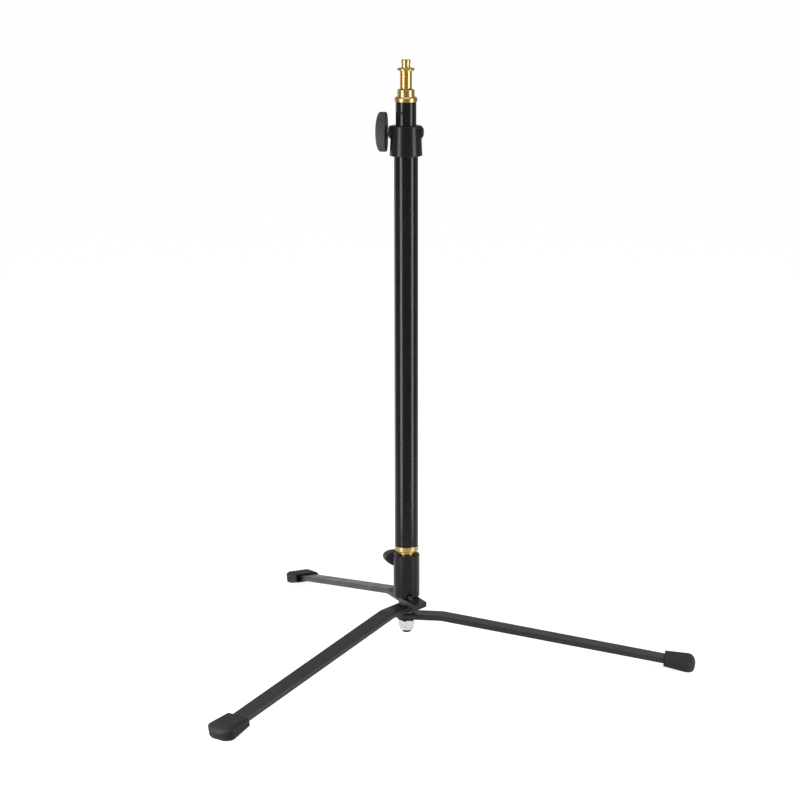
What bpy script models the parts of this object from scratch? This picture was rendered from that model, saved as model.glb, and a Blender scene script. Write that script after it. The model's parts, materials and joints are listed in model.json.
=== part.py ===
"""Mini light stand: a two-section pole on a folding base of three flat legs.

Units are metres, +Z is up and the floor is z = 0. Every piece is made about the pole's axis,
which is also the axis of the bolt that the legs swing on, and the last step moves the whole stand
so that the origin is the middle of its box at floor level. The stand is at rest: the pole is
closed and seated in the base, and the legs are spread.
"""

import math

import bmesh
import bpy
from mathutils import Matrix, Vector

MM = 0.001
IN = 25.4 * MM

# Where the pole's axis stands once the stand's box is centred on the origin
POLE_X = -50.183 * MM
POLE_Y = -13.264 * MM

# Gaps between pieces: parts that rest on each other, and parts that fit inside each other
FACE_GAP = 0.2 * MM
FIT_GAP = 0.1 * MM

# Tubes
OUTER_TUBE_OD = 7 / 8 * IN
OUTER_TUBE_WALL = 1.1 * MM
INNER_TUBE_OD = 3 / 4 * IN
INNER_TUBE_WALL = 1.2 * MM
OUTER_TUBE_R = OUTER_TUBE_OD / 2
OUTER_TUBE_BORE_R = OUTER_TUBE_R - OUTER_TUBE_WALL
INNER_TUBE_R = INNER_TUBE_OD / 2
INNER_TUBE_BORE_R = INNER_TUBE_R - INNER_TUBE_WALL
OUTER_TUBE_BOTTOM = 111.4 * MM
OUTER_TUBE_TOP = 506.0 * MM
INNER_TUBE_BOTTOM = 134.3 * MM
INNER_TUBE_TOP = 531.6 * MM

# Top stud, a standard 5/8 inch lighting stud with a plain tip
STUD_R = 5 / 8 * IN / 2
STUD_TIP_Z = 570.0 * MM
STUD_TIP_R = 4.35 * MM
STUD_WAIST_R = 3.85 * MM
STUD_FLANGE_TOP = 562.6 * MM
STUD_FLANGE_BOTTOM = 559.9 * MM
STUD_GROOVE_R = 5.45 * MM
STUD_GROOVE_BOTTOM = 543.9 * MM
STUD_SHOULDER_TOP = 542.8 * MM
STUD_SEAT_Z = 536.4 * MM
STUD_RING_R = 10.4 * MM
STUD_RING_BOTTOM = INNER_TUBE_TOP + FACE_GAP
STUD_PLUG_BOTTOM = 508.0 * MM
STUD_RIVET_Z = 522.0 * MM
STUD_RIVET_AZIMUTH = -106.0

# Collar that clamps the inner tube
COLLAR_TOP = 510.4 * MM
COLLAR_BOTTOM = 482.5 * MM
COLLAR_TOP_R = 13.9 * MM
COLLAR_BOTTOM_R = 15.1 * MM
COLLAR_CHAMFER = 0.9 * MM
COLLAR_BOSS_Z = 504.2 * MM
COLLAR_BOSS_R = 5.9 * MM
COLLAR_BOSS_START = 12.0 * MM
COLLAR_BOSS_END = 15.6 * MM
COLLAR_RIVET_BOSS_END = 15.0 * MM
GUIDE_RING_R = 10.6 * MM
GUIDE_RING_BOTTOM = 508.6 * MM
GUIDE_RING_TOP = 510.3 * MM
BUSH_FLANGE_BOTTOM = 131.5 * MM
BUSH_PLUG_TOP = 146.0 * MM

# Brass spigot under the pole
SPIGOT_R = 5 / 8 * IN / 2
SPIGOT_BOTTOM = 74.6 * MM
SPIGOT_RING_R = 11.3 * MM
SPIGOT_RING_BOTTOM = 106.3 * MM
SPIGOT_PLUG_TOP = 129.0 * MM
SPIGOT_RIVET_Z = 120.5 * MM
SPIGOT_RIVET_AZIMUTH = -112.0

# Socket column of the base
COLUMN_R = 12.45 * MM
COLUMN_TOP = 103.2 * MM
COLUMN_BORE_R = SPIGOT_R + FIT_GAP
COLUMN_FLOOR_TOP = 67.4 * MM
COLUMN_BOSS_START = 10.5 * MM
COLUMN_BOSS_END = 13.4 * MM
COLUMN_MOUTH = 0.8 * MM
NOTCH_WIDTH = 4.4 * MM
NOTCH_HEIGHT = 4.0 * MM
NOTCH_INNER_R = 9.4 * MM
NOTCH_AZIMUTH = -76.5
KEY_CLEARANCE = 0.4 * MM
KEY_HEADROOM = 1.0 * MM
# The sides of the turned column start here, so that none of their corners meets the boss
COLUMN_SEAM_AZIMUTH = 2.0

# Clamp knobs and their screws: the outward direction is an azimuth from +X, turning to +Y
KNOB_LENGTH = 36.6 * MM
KNOB_WIDTH = 16.0 * MM
KNOB_DEPTH = 10.0 * MM
KNOB_HUB_R = 5.6 * MM
KNOB_DOME = 2.6 * MM
KNOB_SIDES = 40
KNOB_TOP_EDGE = 1.3 * MM
KNOB_BASE_EDGE = 1.8 * MM
KNOB_HUB_START = 0.6 * MM
KNOB_ROOF = 2.2 * MM
SCREW_R = 3.8 * MM
HEIGHT_CLAMP_AZIMUTH = 170.0
HEIGHT_KNOB_START = 17.6 * MM
BASE_CLAMP_AZIMUTH = 107.0
BASE_CLAMP_Z = 92.0 * MM
BASE_KNOB_START = 14.2 * MM
BASE_KNOB_TURN = -73.0

# Rivets: the inner end of one is the radius at which it stops inside a plug
RIVET_SHANK_R = 1.6 * MM
RIVET_HEAD_R = 2.1 * MM
RIVET_HEAD_HEIGHT = 0.7 * MM
RIVET_INNER_END = 5.0 * MM
RIVET_HOLE_END = 4.5 * MM
COLLAR_RIVET_R = 2.5 * MM
COLLAR_RIVET_HEAD_R = 4.6 * MM
COLLAR_RIVET_HEAD_HEIGHT = 1.1 * MM

# How far a cutter reaches past the surface that it opens
CUT_PAST = 5.0 * MM
# Radius inside both tubes and the spigot's bore at which the clamp screws' holes start
SCREW_HOLE_START = 4.0 * MM

# Legs: flat bars stacked on the bolt, level near it and then sloping down to the boots
BAR_WIDTH = 16.8 * MM
BAR_THICKNESS = 5.0 * MM
SPACER_THICKNESS = 3.0 * MM
LEG_PITCH = BAR_THICKNESS + SPACER_THICKNESS + 2 * FACE_GAP
LOWEST_BAR_Z = 41.6 * MM
BACK_TONGUE = 31.0 * MM
BACK_TONGUE_MITRE = 27.0
BAR_END_CENTRE = 2.0 * MM
BEND_RADIUS = 9.0 * MM
BOLT_R = 3 / 8 * IN / 2
BOLT_HOLE_R = BOLT_R + FIT_GAP
COLUMN_BOTTOM = LOWEST_BAR_Z + 2 * LEG_PITCH + BAR_THICKNESS / 2 + FIT_GAP
LEGS = (
    # name, azimuth in degrees, layer counted up from the nut, radius at which the bar bends
    ("right", -8.4, 0, 34.5 * MM),
    ("front", 233.2, 1, 30.5 * MM),
    ("back", 115.3, 2, 28.0 * MM),
)

# Rubber boots, each a flare from its inner face to BOOT_FLAT and then a nose. Its section has a
# crown of this half width, and shoulders that drop from the crown to the sides.
BOOT_REACH = 268.9 * MM
BOOT_FLAT = 22.1 * MM
BOOT_NOSE = 7.7 * MM
BOOT_WIDTH_IN = 26.6 * MM
BOOT_WIDTH_OUT = 28.4 * MM
BOOT_HEIGHT_IN = 9.2 * MM
BOOT_HEIGHT_OUT = 12.6 * MM
BOOT_CROWN = 10.2 * MM
BOOT_SHOULDER = 1.8 * MM
BOOT_FLAT_SPOT = 0.76 * MM
BOOT_POCKET = 20.0 * MM

# Fasteners under the legs
SPACER_R = 7.7 * MM
BOTTOM_WASHER_R = 8.6 * MM
BOTTOM_WASHER_THICKNESS = 1.1 * MM
NUT_FLATS = 9 / 16 * IN
NUT_HEX_HEIGHT = 6.8 * MM
NUT_CROWN_HEIGHT = 3.2 * MM
NUT_CROWN_R = 6.7 * MM
NUT_CORNER_AZIMUTH = -107.0
BOLT_END = 25.0 * MM
BOLT_HEAD_R = 7.5 * MM
BOLT_HEAD_HEIGHT = 5.6 * MM
BOLT_SOCKET_R = 3.6 * MM
BOLT_SOCKET_DEPTH = 3.2 * MM

# Sides of a turned piece: the large ones, and the small ones and holes
FINE = 48
COARSE = 24


def reset_scene():
    """Remove every object, and return the collections of the stand and of its cutters."""
    for obj in list(bpy.data.objects):
        bpy.data.objects.remove(obj, do_unlink=True)
    stand = bpy.data.collections.new("mini_light_stand")
    cutters = bpy.data.collections.new("cutters")
    for collection in (stand, cutters):
        bpy.context.scene.collection.children.link(collection)
    return stand, cutters


STAND, CUTTERS = reset_scene()


def principled(name, colour, roughness, metallic=0.0):
    """Return a plain Principled material."""
    material = bpy.data.materials.new(name)
    material.use_nodes = True
    shader = material.node_tree.nodes["Principled BSDF"]
    shader.inputs["Base Color"].default_value = (*colour, 1.0)
    shader.inputs["Roughness"].default_value = roughness
    shader.inputs["Metallic"].default_value = metallic
    material.diffuse_color = (*colour, 1.0)
    return material


BRASS = principled("brass", (0.72, 0.50, 0.18), 0.22, 1.0)
GLOSS_BLACK = principled("gloss_black_enamel", (0.012, 0.012, 0.013), 0.18)
SATIN_ENAMEL = principled("satin_black_enamel", (0.014, 0.014, 0.015), 0.38)
SATIN_BLACK = principled("satin_black_casting", (0.022, 0.022, 0.024), 0.42)
BLACK_PLASTIC = principled("black_plastic", (0.025, 0.025, 0.027), 0.5)
BLACK_RUBBER = principled("black_rubber", (0.03, 0.03, 0.032), 0.7)
NYLON = principled("black_nylon", (0.04, 0.04, 0.042), 0.55)
ZINC_STEEL = principled("zinc_plated_steel", (0.62, 0.64, 0.65), 0.3, 1.0)
BLACK_STEEL = principled("black_oxide_steel", (0.03, 0.03, 0.032), 0.4, 1.0)


def direction(azimuth):
    """Return the level unit vector at an azimuth in degrees from +X towards +Y."""
    angle = math.radians(azimuth)
    return Vector((math.cos(angle), math.sin(angle), 0.0))


def outward_frame(azimuth, height, turn=0.0):
    """Return a matrix with local +Z level and outward from the pole, and local +Y up.

    turn rolls the frame about its own +Z, in degrees.
    """
    out = direction(azimuth)
    up = Vector((0.0, 0.0, 1.0))
    side = up.cross(out)
    rotation = Matrix((side, up, out)).transposed().to_4x4()
    roll = Matrix.Rotation(math.radians(turn), 4, "Z")
    return Matrix.Translation((0.0, 0.0, height)) @ rotation @ roll


def add_object(name, mesh, material=None, matrix=None, collection=None):
    """Put a mesh in the scene as a named object, with its material and place."""
    obj = bpy.data.objects.new(name, mesh)
    (collection or STAND).objects.link(obj)
    if material:
        mesh.materials.append(material)
    if matrix:
        obj.matrix_world = matrix
    return obj


def as_cutter(obj):
    """Mark an object as a cutter, which is no part of the stand."""
    obj.hide_render = True
    obj.display_type = "WIRE"
    return obj


def turned(name, profile, material=None, matrix=None, steps=FINE, collection=None):
    """Turn a profile of (radius, height) points about local Z.

    The points run down the outer side. A profile that starts and ends on the axis is a solid,
    and any other is closed from its last point to its first and is a ring.
    """
    points = [(radius, 0.0, height) for radius, height in profile]
    edges = [(index, index + 1) for index in range(len(points) - 1)]
    if profile[0][0] > 0.0:
        edges.append((len(points) - 1, 0))
    mesh = bpy.data.meshes.new(name)
    mesh.from_pydata(points, edges, [])
    obj = add_object(name, mesh, material, matrix, collection)
    screw = obj.modifiers.new("Turn", "SCREW")
    screw.axis = "Z"
    screw.steps = steps
    screw.render_steps = steps
    screw.use_merge_vertices = True
    screw.merge_threshold = 0.00001
    screw.use_smooth_shade = True
    return obj


def rod_profile(radius, bottom, top, chamfer=0.0):
    """Return the profile of a plain solid rod, with an equal chamfer on both ends."""
    if chamfer == 0.0:
        return [(0.0, top), (radius, top), (radius, bottom), (0.0, bottom)]
    return [(0.0, top), (radius - chamfer, top), (radius, top - chamfer),
            (radius, bottom + chamfer), (radius - chamfer, bottom), (0.0, bottom)]


def ring_profile(outer, inner, bottom, top, chamfer=0.0):
    """Return the profile of a plain ring, with its two outer edges chamfered if asked."""
    if chamfer == 0.0:
        return [(outer, top), (outer, bottom), (inner, bottom), (inner, top)]
    return [(outer - chamfer, top), (outer, top - chamfer), (outer, bottom + chamfer),
            (outer - chamfer, bottom), (inner, bottom), (inner, top)]


def round_cutter(name, radius, start, end, matrix=None):
    """Return a cutter rod along local Z from start to end."""
    return as_cutter(turned(name, rod_profile(radius, start, end), matrix=matrix, steps=COARSE,
                            collection=CUTTERS))


def box_cutter(name, low, high, matrix=None):
    """Return a cutter box between two local corners."""
    low, high = Vector(low), Vector(high)
    mesh = bpy.data.meshes.new(name)
    cube = bmesh.new()
    bmesh.ops.create_cube(cube, size=1.0)
    for vert in cube.verts:
        vert.co = (low + high) / 2 + Vector(a * b for a, b in zip(vert.co, high - low))
    cube.to_mesh(mesh)
    cube.free()
    return as_cutter(add_object(name, mesh, matrix=matrix, collection=CUTTERS))


def boolean(obj, other, operation="DIFFERENCE"):
    """Cut, join or intersect an object with another, and weld the slivers that it leaves."""
    modifier = obj.modifiers.new(operation.capitalize(), "BOOLEAN")
    modifier.operation = operation
    modifier.solver = "EXACT"
    modifier.object = other
    weld = obj.modifiers.new("Weld", "WELD")
    weld.merge_threshold = 0.00002


def prism(name, outline, half_depth, material=None, matrix=None, collection=None):
    """Extrude a flat outline of (x, y) points along local Z, both ways from its plane."""
    curve = bpy.data.curves.new(name, "CURVE")
    curve.dimensions = "2D"
    curve.fill_mode = "BOTH"
    curve.extrude = half_depth
    spline = curve.splines.new("POLY")
    spline.points.add(len(outline) - 1)
    for point, (x, y) in zip(spline.points, outline):
        point.co = (x, y, 0.0, 1.0)
    spline.use_cyclic_u = True
    holder = bpy.data.objects.new(name + "_curve", curve)
    CUTTERS.objects.link(holder)
    bpy.context.view_layer.update()
    evaluated = holder.evaluated_get(bpy.context.evaluated_depsgraph_get())
    mesh = bpy.data.meshes.new_from_object(evaluated)
    mesh.name = name
    solid = bmesh.new()
    solid.from_mesh(mesh)
    bmesh.ops.remove_doubles(solid, verts=solid.verts, dist=0.000001)
    bmesh.ops.recalc_face_normals(solid, faces=solid.faces)
    solid.to_mesh(mesh)
    solid.free()
    bpy.data.objects.remove(holder, do_unlink=True)
    return add_object(name, mesh, material, matrix, collection)


def loft(name, rings, material=None):
    """Join closed rings of points, which all have the same count, and close both ends."""
    count = len(rings[0])
    points = [point for ring in rings for point in ring]
    faces = [tuple(range(count)), tuple(range(len(points) - count, len(points)))[::-1]]
    for start in range(0, len(points) - count, count):
        for index in range(count):
            after = (index + 1) % count
            faces.append((start + index, start + count + index, start + count + after,
                          start + after))
    mesh = bpy.data.meshes.new(name)
    mesh.from_pydata(points, [], faces)
    solid = bmesh.new()
    solid.from_mesh(mesh)
    bmesh.ops.recalc_face_normals(solid, faces=solid.faces)
    solid.to_mesh(mesh)
    solid.free()
    return add_object(name, mesh, material)


def knob_ring(inset, height, domed):
    """Return an ellipse inside the knob's outline, at a height that may follow its domed face."""
    ring = []
    for index in range(KNOB_SIDES):
        angle = 2.0 * math.pi * index / KNOB_SIDES
        x = (KNOB_WIDTH / 2 - inset) * math.sin(angle)
        y = (KNOB_LENGTH / 2 - inset) * math.cos(angle)
        fall = KNOB_DOME * (math.hypot(x, y) / (KNOB_LENGTH / 2)) ** 3 if domed else 0.0
        ring.append((x, y, height - fall))
    return ring


def make_top_stud():
    """Turn the brass stud: tip, flange, groove, shoulder, seat ring and the plug below it."""
    edge = 0.6 * MM
    bead = (STUD_FLANGE_TOP - STUD_FLANGE_BOTTOM) / 2
    bead_z = STUD_FLANGE_TOP - bead
    bead_turns = [math.radians(90.0 - 36.0 * index) for index in range(6)]
    bead_arc = [(STUD_R - bead + bead * math.cos(turn), bead_z + bead * math.sin(turn))
                for turn in bead_turns]
    profile = [
        (0.0, STUD_TIP_Z),
        (STUD_TIP_R - 0.3 * MM, STUD_TIP_Z),
        (STUD_TIP_R, STUD_TIP_Z - 0.3 * MM),
        (STUD_TIP_R - 0.1 * MM, STUD_TIP_Z - 1.6 * MM),
        (STUD_WAIST_R, STUD_TIP_Z - 4.0 * MM),
        (STUD_WAIST_R, STUD_FLANGE_TOP),
        *bead_arc,
        (STUD_GROOVE_R, STUD_FLANGE_BOTTOM),
        (STUD_GROOVE_R, STUD_GROOVE_BOTTOM),
        (STUD_R - edge, STUD_SHOULDER_TOP),
        (STUD_R, STUD_SHOULDER_TOP - edge),
        (STUD_R, STUD_SEAT_Z),
        (STUD_RING_R - 1.0 * MM, STUD_SEAT_Z),
        (STUD_RING_R, STUD_SEAT_Z - 1.2 * MM),
        (STUD_RING_R, STUD_RING_BOTTOM + edge),
        (STUD_RING_R - edge, STUD_RING_BOTTOM),
        (INNER_TUBE_BORE_R - FIT_GAP, STUD_RING_BOTTOM),
        (INNER_TUBE_BORE_R - FIT_GAP, STUD_PLUG_BOTTOM + edge),
        (INNER_TUBE_BORE_R - FIT_GAP - edge, STUD_PLUG_BOTTOM),
        (0.0, STUD_PLUG_BOTTOM),
    ]
    stud = turned("top_stud", profile, BRASS)
    boolean(stud, rivet_hole("stud_rivet_hole", STUD_RIVET_AZIMUTH, STUD_RIVET_Z))
    return stud


def rivet_hole(name, azimuth, height):
    """Return the cutter of a rivet's hole, which goes through a tube wall into the plug in it."""
    return round_cutter(name, RIVET_SHANK_R + FIT_GAP, RIVET_HOLE_END, OUTER_TUBE_R + CUT_PAST,
                        outward_frame(azimuth, height))


def make_rivet(name, azimuth, height, tube_radius):
    """Turn a small round-headed rivet that lies across a tube's wall."""
    seat = tube_radius + FACE_GAP
    profile = [
        (0.0, seat + RIVET_HEAD_HEIGHT),
        (RIVET_HEAD_R * 0.6, seat + RIVET_HEAD_HEIGHT * 0.82),
        (RIVET_HEAD_R, seat + RIVET_HEAD_HEIGHT * 0.2),
        (RIVET_HEAD_R, seat),
        (RIVET_SHANK_R, seat),
        (RIVET_SHANK_R, RIVET_INNER_END),
        (0.0, RIVET_INNER_END),
    ]
    return turned(name, profile, GLOSS_BLACK, outward_frame(azimuth, height), COARSE)


def make_inner_tube():
    """Make the sliding tube, with its nylon foot bush and the guide ring in the collar."""
    tube = turned("inner_tube", ring_profile(INNER_TUBE_R, INNER_TUBE_BORE_R, INNER_TUBE_BOTTOM,
                                             INNER_TUBE_TOP), GLOSS_BLACK)
    boolean(tube, bpy.data.objects["stud_rivet_hole"])
    flange_r = OUTER_TUBE_BORE_R - FIT_GAP
    flange_top = INNER_TUBE_BOTTOM - FACE_GAP
    plug_r = INNER_TUBE_BORE_R - FIT_GAP
    hollow_r = plug_r - 1.6 * MM
    turned("inner_tube_bush", [
        (plug_r, BUSH_PLUG_TOP),
        (plug_r, flange_top),
        (flange_r, flange_top),
        (flange_r, BUSH_FLANGE_BOTTOM),
        (hollow_r, BUSH_FLANGE_BOTTOM),
        (hollow_r, BUSH_PLUG_TOP),
    ], NYLON)
    turned("guide_ring", ring_profile(GUIDE_RING_R, INNER_TUBE_R + FIT_GAP, GUIDE_RING_BOTTOM,
                                      GUIDE_RING_TOP), NYLON)
    return tube


def make_outer_tube():
    """Make the outer tube, drilled for the clamp pad, the collar's rivet and the spigot's."""
    tube = turned("outer_tube", ring_profile(OUTER_TUBE_R, OUTER_TUBE_BORE_R, OUTER_TUBE_BOTTOM,
                                             OUTER_TUBE_TOP), GLOSS_BLACK)
    for cutter in ("height_screw_hole", "collar_rivet_hole", "spigot_rivet_hole"):
        boolean(tube, bpy.data.objects[cutter])
    return tube


def make_collar():
    """Make the tapered collar bored for both tubes, with a boss for the screw and the rivet."""
    tube_bore = OUTER_TUBE_R + FIT_GAP
    ring_bore = GUIDE_RING_R + FIT_GAP
    ledge_bore = INNER_TUBE_R + 2 * FIT_GAP
    lip = OUTER_TUBE_TOP + FIT_GAP
    ring_seat = GUIDE_RING_BOTTOM - FACE_GAP
    profile = [
        (COLLAR_TOP_R - COLLAR_CHAMFER, COLLAR_TOP),
        (COLLAR_TOP_R, COLLAR_TOP - COLLAR_CHAMFER),
        (COLLAR_BOTTOM_R, COLLAR_BOTTOM + COLLAR_CHAMFER),
        (COLLAR_BOTTOM_R - COLLAR_CHAMFER, COLLAR_BOTTOM),
        (tube_bore, COLLAR_BOTTOM),
        (tube_bore, lip),
        (ledge_bore, lip),
        (ledge_bore, ring_seat),
        (ring_bore, ring_seat),
        (ring_bore, COLLAR_TOP),
    ]
    collar = turned("collar", profile, SATIN_BLACK)
    across = outward_frame(HEIGHT_CLAMP_AZIMUTH, COLLAR_BOSS_Z)
    for side, start, end in (("screw", COLLAR_BOSS_START, COLLAR_BOSS_END),
                             ("rivet", -COLLAR_RIVET_BOSS_END, -COLLAR_BOSS_START)):
        boss = turned("collar_boss_" + side, rod_profile(COLLAR_BOSS_R, start, end, 0.5 * MM),
                      matrix=across, collection=CUTTERS)
        boolean(collar, as_cutter(boss), "UNION")
    boolean(collar, round_cutter("height_screw_hole", SCREW_R + FIT_GAP,
                                 SCREW_HOLE_START, COLLAR_BOSS_END + CUT_PAST, across))
    boolean(collar, round_cutter("collar_rivet_hole", COLLAR_RIVET_R + FIT_GAP,
                                 -COLLAR_RIVET_BOSS_END - CUT_PAST, -SCREW_HOLE_START, across))
    head = COLLAR_RIVET_BOSS_END + FACE_GAP
    inner_end = OUTER_TUBE_BORE_R + FACE_GAP
    turned("collar_rivet", [
        (0.0, head + COLLAR_RIVET_HEAD_HEIGHT),
        (COLLAR_RIVET_HEAD_R - 1.0 * MM, head + COLLAR_RIVET_HEAD_HEIGHT - 0.1 * MM),
        (COLLAR_RIVET_HEAD_R, head + 0.3 * MM),
        (COLLAR_RIVET_HEAD_R, head),
        (COLLAR_RIVET_R, head),
        (COLLAR_RIVET_R, inner_end),
        (0.0, inner_end),
    ], SATIN_BLACK, outward_frame(HEIGHT_CLAMP_AZIMUTH + 180.0, COLLAR_BOSS_Z), COARSE)
    return collar


def make_clamp(prefix, azimuth, height, surface_r, knob_start, turn):
    """Make a clamp's oval knob, its screw and the pad that presses on a round surface.

    Everything is turned or extruded along local Z, which points outward from the pole.
    """
    axis = bpy.data.objects.new(prefix + "_clamp_axis", None)
    CUTTERS.objects.link(axis)
    axis.matrix_world = outward_frame(azimuth, height)
    pad_end = surface_r + FIT_GAP + 1.7 * MM
    pad = turned(prefix + "_pad", rod_profile(SCREW_R, surface_r + FIT_GAP, pad_end, 0.3 * MM),
                 BRASS, steps=COARSE)
    screw_end = knob_start + KNOB_DEPTH - KNOB_ROOF - FIT_GAP
    screw = turned(prefix + "_screw", rod_profile(SCREW_R, pad_end + FACE_GAP, screw_end, 0.5 * MM),
                   ZINC_STEEL, steps=COARSE)
    roll = Matrix.Rotation(math.radians(turn), 4, "Z")
    place = roll @ Matrix.Translation((0.0, 0.0, knob_start))
    knob = loft(prefix + "_knob", [
        knob_ring(KNOB_BASE_EDGE, 0.0, False),
        knob_ring(KNOB_BASE_EDGE * 0.3, KNOB_BASE_EDGE * 0.3, False),
        knob_ring(0.0, KNOB_BASE_EDGE, False),
        knob_ring(0.0, KNOB_DEPTH - KNOB_TOP_EDGE, True),
        knob_ring(KNOB_TOP_EDGE * 0.3, KNOB_DEPTH - KNOB_TOP_EDGE * 0.3, True),
        knob_ring(KNOB_TOP_EDGE, KNOB_DEPTH, True),
        knob_ring(KNOB_WIDTH / 4, KNOB_DEPTH, True),
        knob_ring(KNOB_WIDTH / 2 - 1.0 * MM, KNOB_DEPTH, True),
    ], BLACK_PLASTIC)
    hub = as_cutter(turned(prefix + "_knob_hub",
                           rod_profile(KNOB_HUB_R, -KNOB_HUB_START, KNOB_DEPTH / 2),
                           steps=COARSE, collection=CUTTERS))
    hole = round_cutter(prefix + "_knob_hole", SCREW_R + FIT_GAP, -KNOB_DEPTH,
                        KNOB_DEPTH - KNOB_ROOF)
    boolean(knob, hub, "UNION")
    boolean(knob, hole)
    for obj in (pad, screw):
        obj.parent = axis
    for obj in (knob, hub, hole):
        obj.parent = axis
        obj.matrix_local = place
    return axis


def make_pole_spigot():
    """Turn the brass spigot: plug in the outer tube, ring under it, and the 5/8 inch shank."""
    edge = 0.8 * MM
    plug_r = OUTER_TUBE_BORE_R - FIT_GAP
    ring_top = OUTER_TUBE_BOTTOM - FACE_GAP
    profile = [
        (0.0, SPIGOT_PLUG_TOP),
        (plug_r - edge, SPIGOT_PLUG_TOP),
        (plug_r, SPIGOT_PLUG_TOP - edge),
        (plug_r, ring_top),
        (SPIGOT_RING_R - 0.4 * MM, ring_top),
        (SPIGOT_RING_R, ring_top - 0.4 * MM),
        (SPIGOT_RING_R, SPIGOT_RING_BOTTOM + edge),
        (SPIGOT_RING_R - edge, SPIGOT_RING_BOTTOM),
        (SPIGOT_R, SPIGOT_RING_BOTTOM),
        (SPIGOT_R, SPIGOT_BOTTOM + 1.5 * MM),
        (SPIGOT_R - 1.5 * MM, SPIGOT_BOTTOM),
        (0.0, SPIGOT_BOTTOM),
    ]
    spigot = turned("pole_spigot", profile, BRASS)
    boolean(spigot, rivet_hole("spigot_rivet_hole", SPIGOT_RIVET_AZIMUTH, SPIGOT_RIVET_Z))
    return spigot


def make_base_column():
    """Make the socket column, with its clamp boss, bolt hole and the notch for the leg's key."""
    profile = [
        (COLUMN_R - 1.3 * MM, COLUMN_TOP),
        (COLUMN_R, COLUMN_TOP - 1.1 * MM),
        (COLUMN_R, COLUMN_BOTTOM + 0.5 * MM),
        (COLUMN_R - 0.5 * MM, COLUMN_BOTTOM),
        (BOLT_HOLE_R, COLUMN_BOTTOM),
        (BOLT_HOLE_R, COLUMN_FLOOR_TOP),
        (COLUMN_BORE_R, COLUMN_FLOOR_TOP),
        (COLUMN_BORE_R, COLUMN_TOP - COLUMN_MOUTH),
        (COLUMN_BORE_R + COLUMN_MOUTH, COLUMN_TOP),
    ]
    column = turned("base_column", profile, SATIN_BLACK, leg_frame(COLUMN_SEAM_AZIMUTH))
    across = outward_frame(BASE_CLAMP_AZIMUTH, BASE_CLAMP_Z)
    boss = turned("column_boss", rod_profile(COLLAR_BOSS_R, COLUMN_BOSS_START, COLUMN_BOSS_END),
                  matrix=across, collection=CUTTERS)
    boolean(column, as_cutter(boss), "UNION")
    boolean(column, round_cutter("base_screw_hole", SCREW_R + FIT_GAP, SCREW_HOLE_START,
                                 COLUMN_BOSS_END + CUT_PAST, across))
    slot = outward_frame(NOTCH_AZIMUTH, COLUMN_BOTTOM)
    boolean(column, box_cutter("column_notch", (-NOTCH_WIDTH / 2, -CUT_PAST, NOTCH_INNER_R),
                               (NOTCH_WIDTH / 2, NOTCH_HEIGHT, COLUMN_R + CUT_PAST), slot))
    return column


def flared(along, inner, widest, bend, fullness):
    """Return half a boot's size at a distance along it: an even flare, then the nose's curve.

    The nose's curve is one less the share of the nose passed to the power of bend, all of it to
    the power of one over fullness, so that a high bend keeps the size for longer.
    """
    share = min(1.0, along / BOOT_FLAT)
    past = max(0.0, (along - BOOT_FLAT) / BOOT_NOSE)
    return (inner + (widest - inner) * share) / 2 * (1.0 - past ** bend) ** (1.0 / fullness)


def boot_half_width(along):
    """Return a boot's half width at a distance along it; the nose is round seen from above."""
    return flared(along, BOOT_WIDTH_IN, BOOT_WIDTH_OUT, 1.9, 2.14)


def boot_rise(along):
    """Return a boot's height above its middle plane; the nose slopes down like a shoe's toe."""
    return flared(along, BOOT_HEIGHT_IN, BOOT_HEIGHT_OUT, 1.7, 2.2)


def boot_depth(along):
    """Return a boot's depth below its middle plane, which the nose keeps almost to its end."""
    return flared(along, BOOT_HEIGHT_IN, BOOT_HEIGHT_OUT, 5.0, 3.0)


def boot_drop(slope):
    """Return how far a sloping boot reaches below the centre of its widest section."""
    steps = [BOOT_FLAT + BOOT_NOSE * index / 60 for index in range(61)]
    return max((along - BOOT_FLAT) * math.sin(slope) + boot_depth(along) * math.cos(slope)
               for along in steps)


def leg_slope(level, bend):
    """Return the slope, in radians, that brings a boot down to the floor from a level height."""
    slope = 0.0
    for _ in range(12):
        fall = level - boot_drop(slope) + BOOT_FLAT_SPOT
        slope = math.atan(fall / (BOOT_REACH - bend))
    return slope


def leg_frame(azimuth):
    """Return a matrix with local +X outward along a leg and local +Z up."""
    return Matrix.Rotation(math.radians(azimuth), 4, "Z")


def bar_side_outline(level, bend, slope, tip):
    """Return a bar's outline in its own upright plane: level, a bend, then the slope.

    The bend's arcs share one centre below the bar, and tip is the radius at the bar's end.
    """
    half = BAR_THICKNESS / 2
    arc_start = bend - BEND_RADIUS * math.tan(slope / 2)
    centre_z = level - BEND_RADIUS
    turns = [slope * index / 3 for index in range(4)]
    run = (tip - arc_start) / math.cos(slope) - BEND_RADIUS * math.tan(slope)
    outline = []
    for offset in (half, -half):
        radius = BEND_RADIUS + offset
        arc = [(arc_start + radius * math.sin(turn), centre_z + radius * math.cos(turn))
               for turn in turns]
        end_x = arc[-1][0] + run * math.cos(slope)
        end_z = arc[-1][1] - run * math.sin(slope)
        side = [(-BACK_TONGUE - BAR_WIDTH, level + offset), *arc, (end_x, end_z)]
        outline.append(side)
    return outline[0] + outline[1][::-1]


def bar_plan_outline(name, tip):
    """Return a bar's outline seen from above: the back bar has a mitred tongue, the others an arc."""
    half = BAR_WIDTH / 2
    if name == "back":
        skew = half * math.tan(math.radians(BACK_TONGUE_MITRE))
        end = [(-BACK_TONGUE - skew, half), (-BACK_TONGUE + skew, -half)]
    else:
        turns = [math.radians(90.0 + 180.0 * index / 12) for index in range(13)]
        end = [(-BAR_END_CENTRE + half * math.cos(turn), half * math.sin(turn)) for turn in turns]
    return [(tip, half), *end, (tip, -half)]


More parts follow.
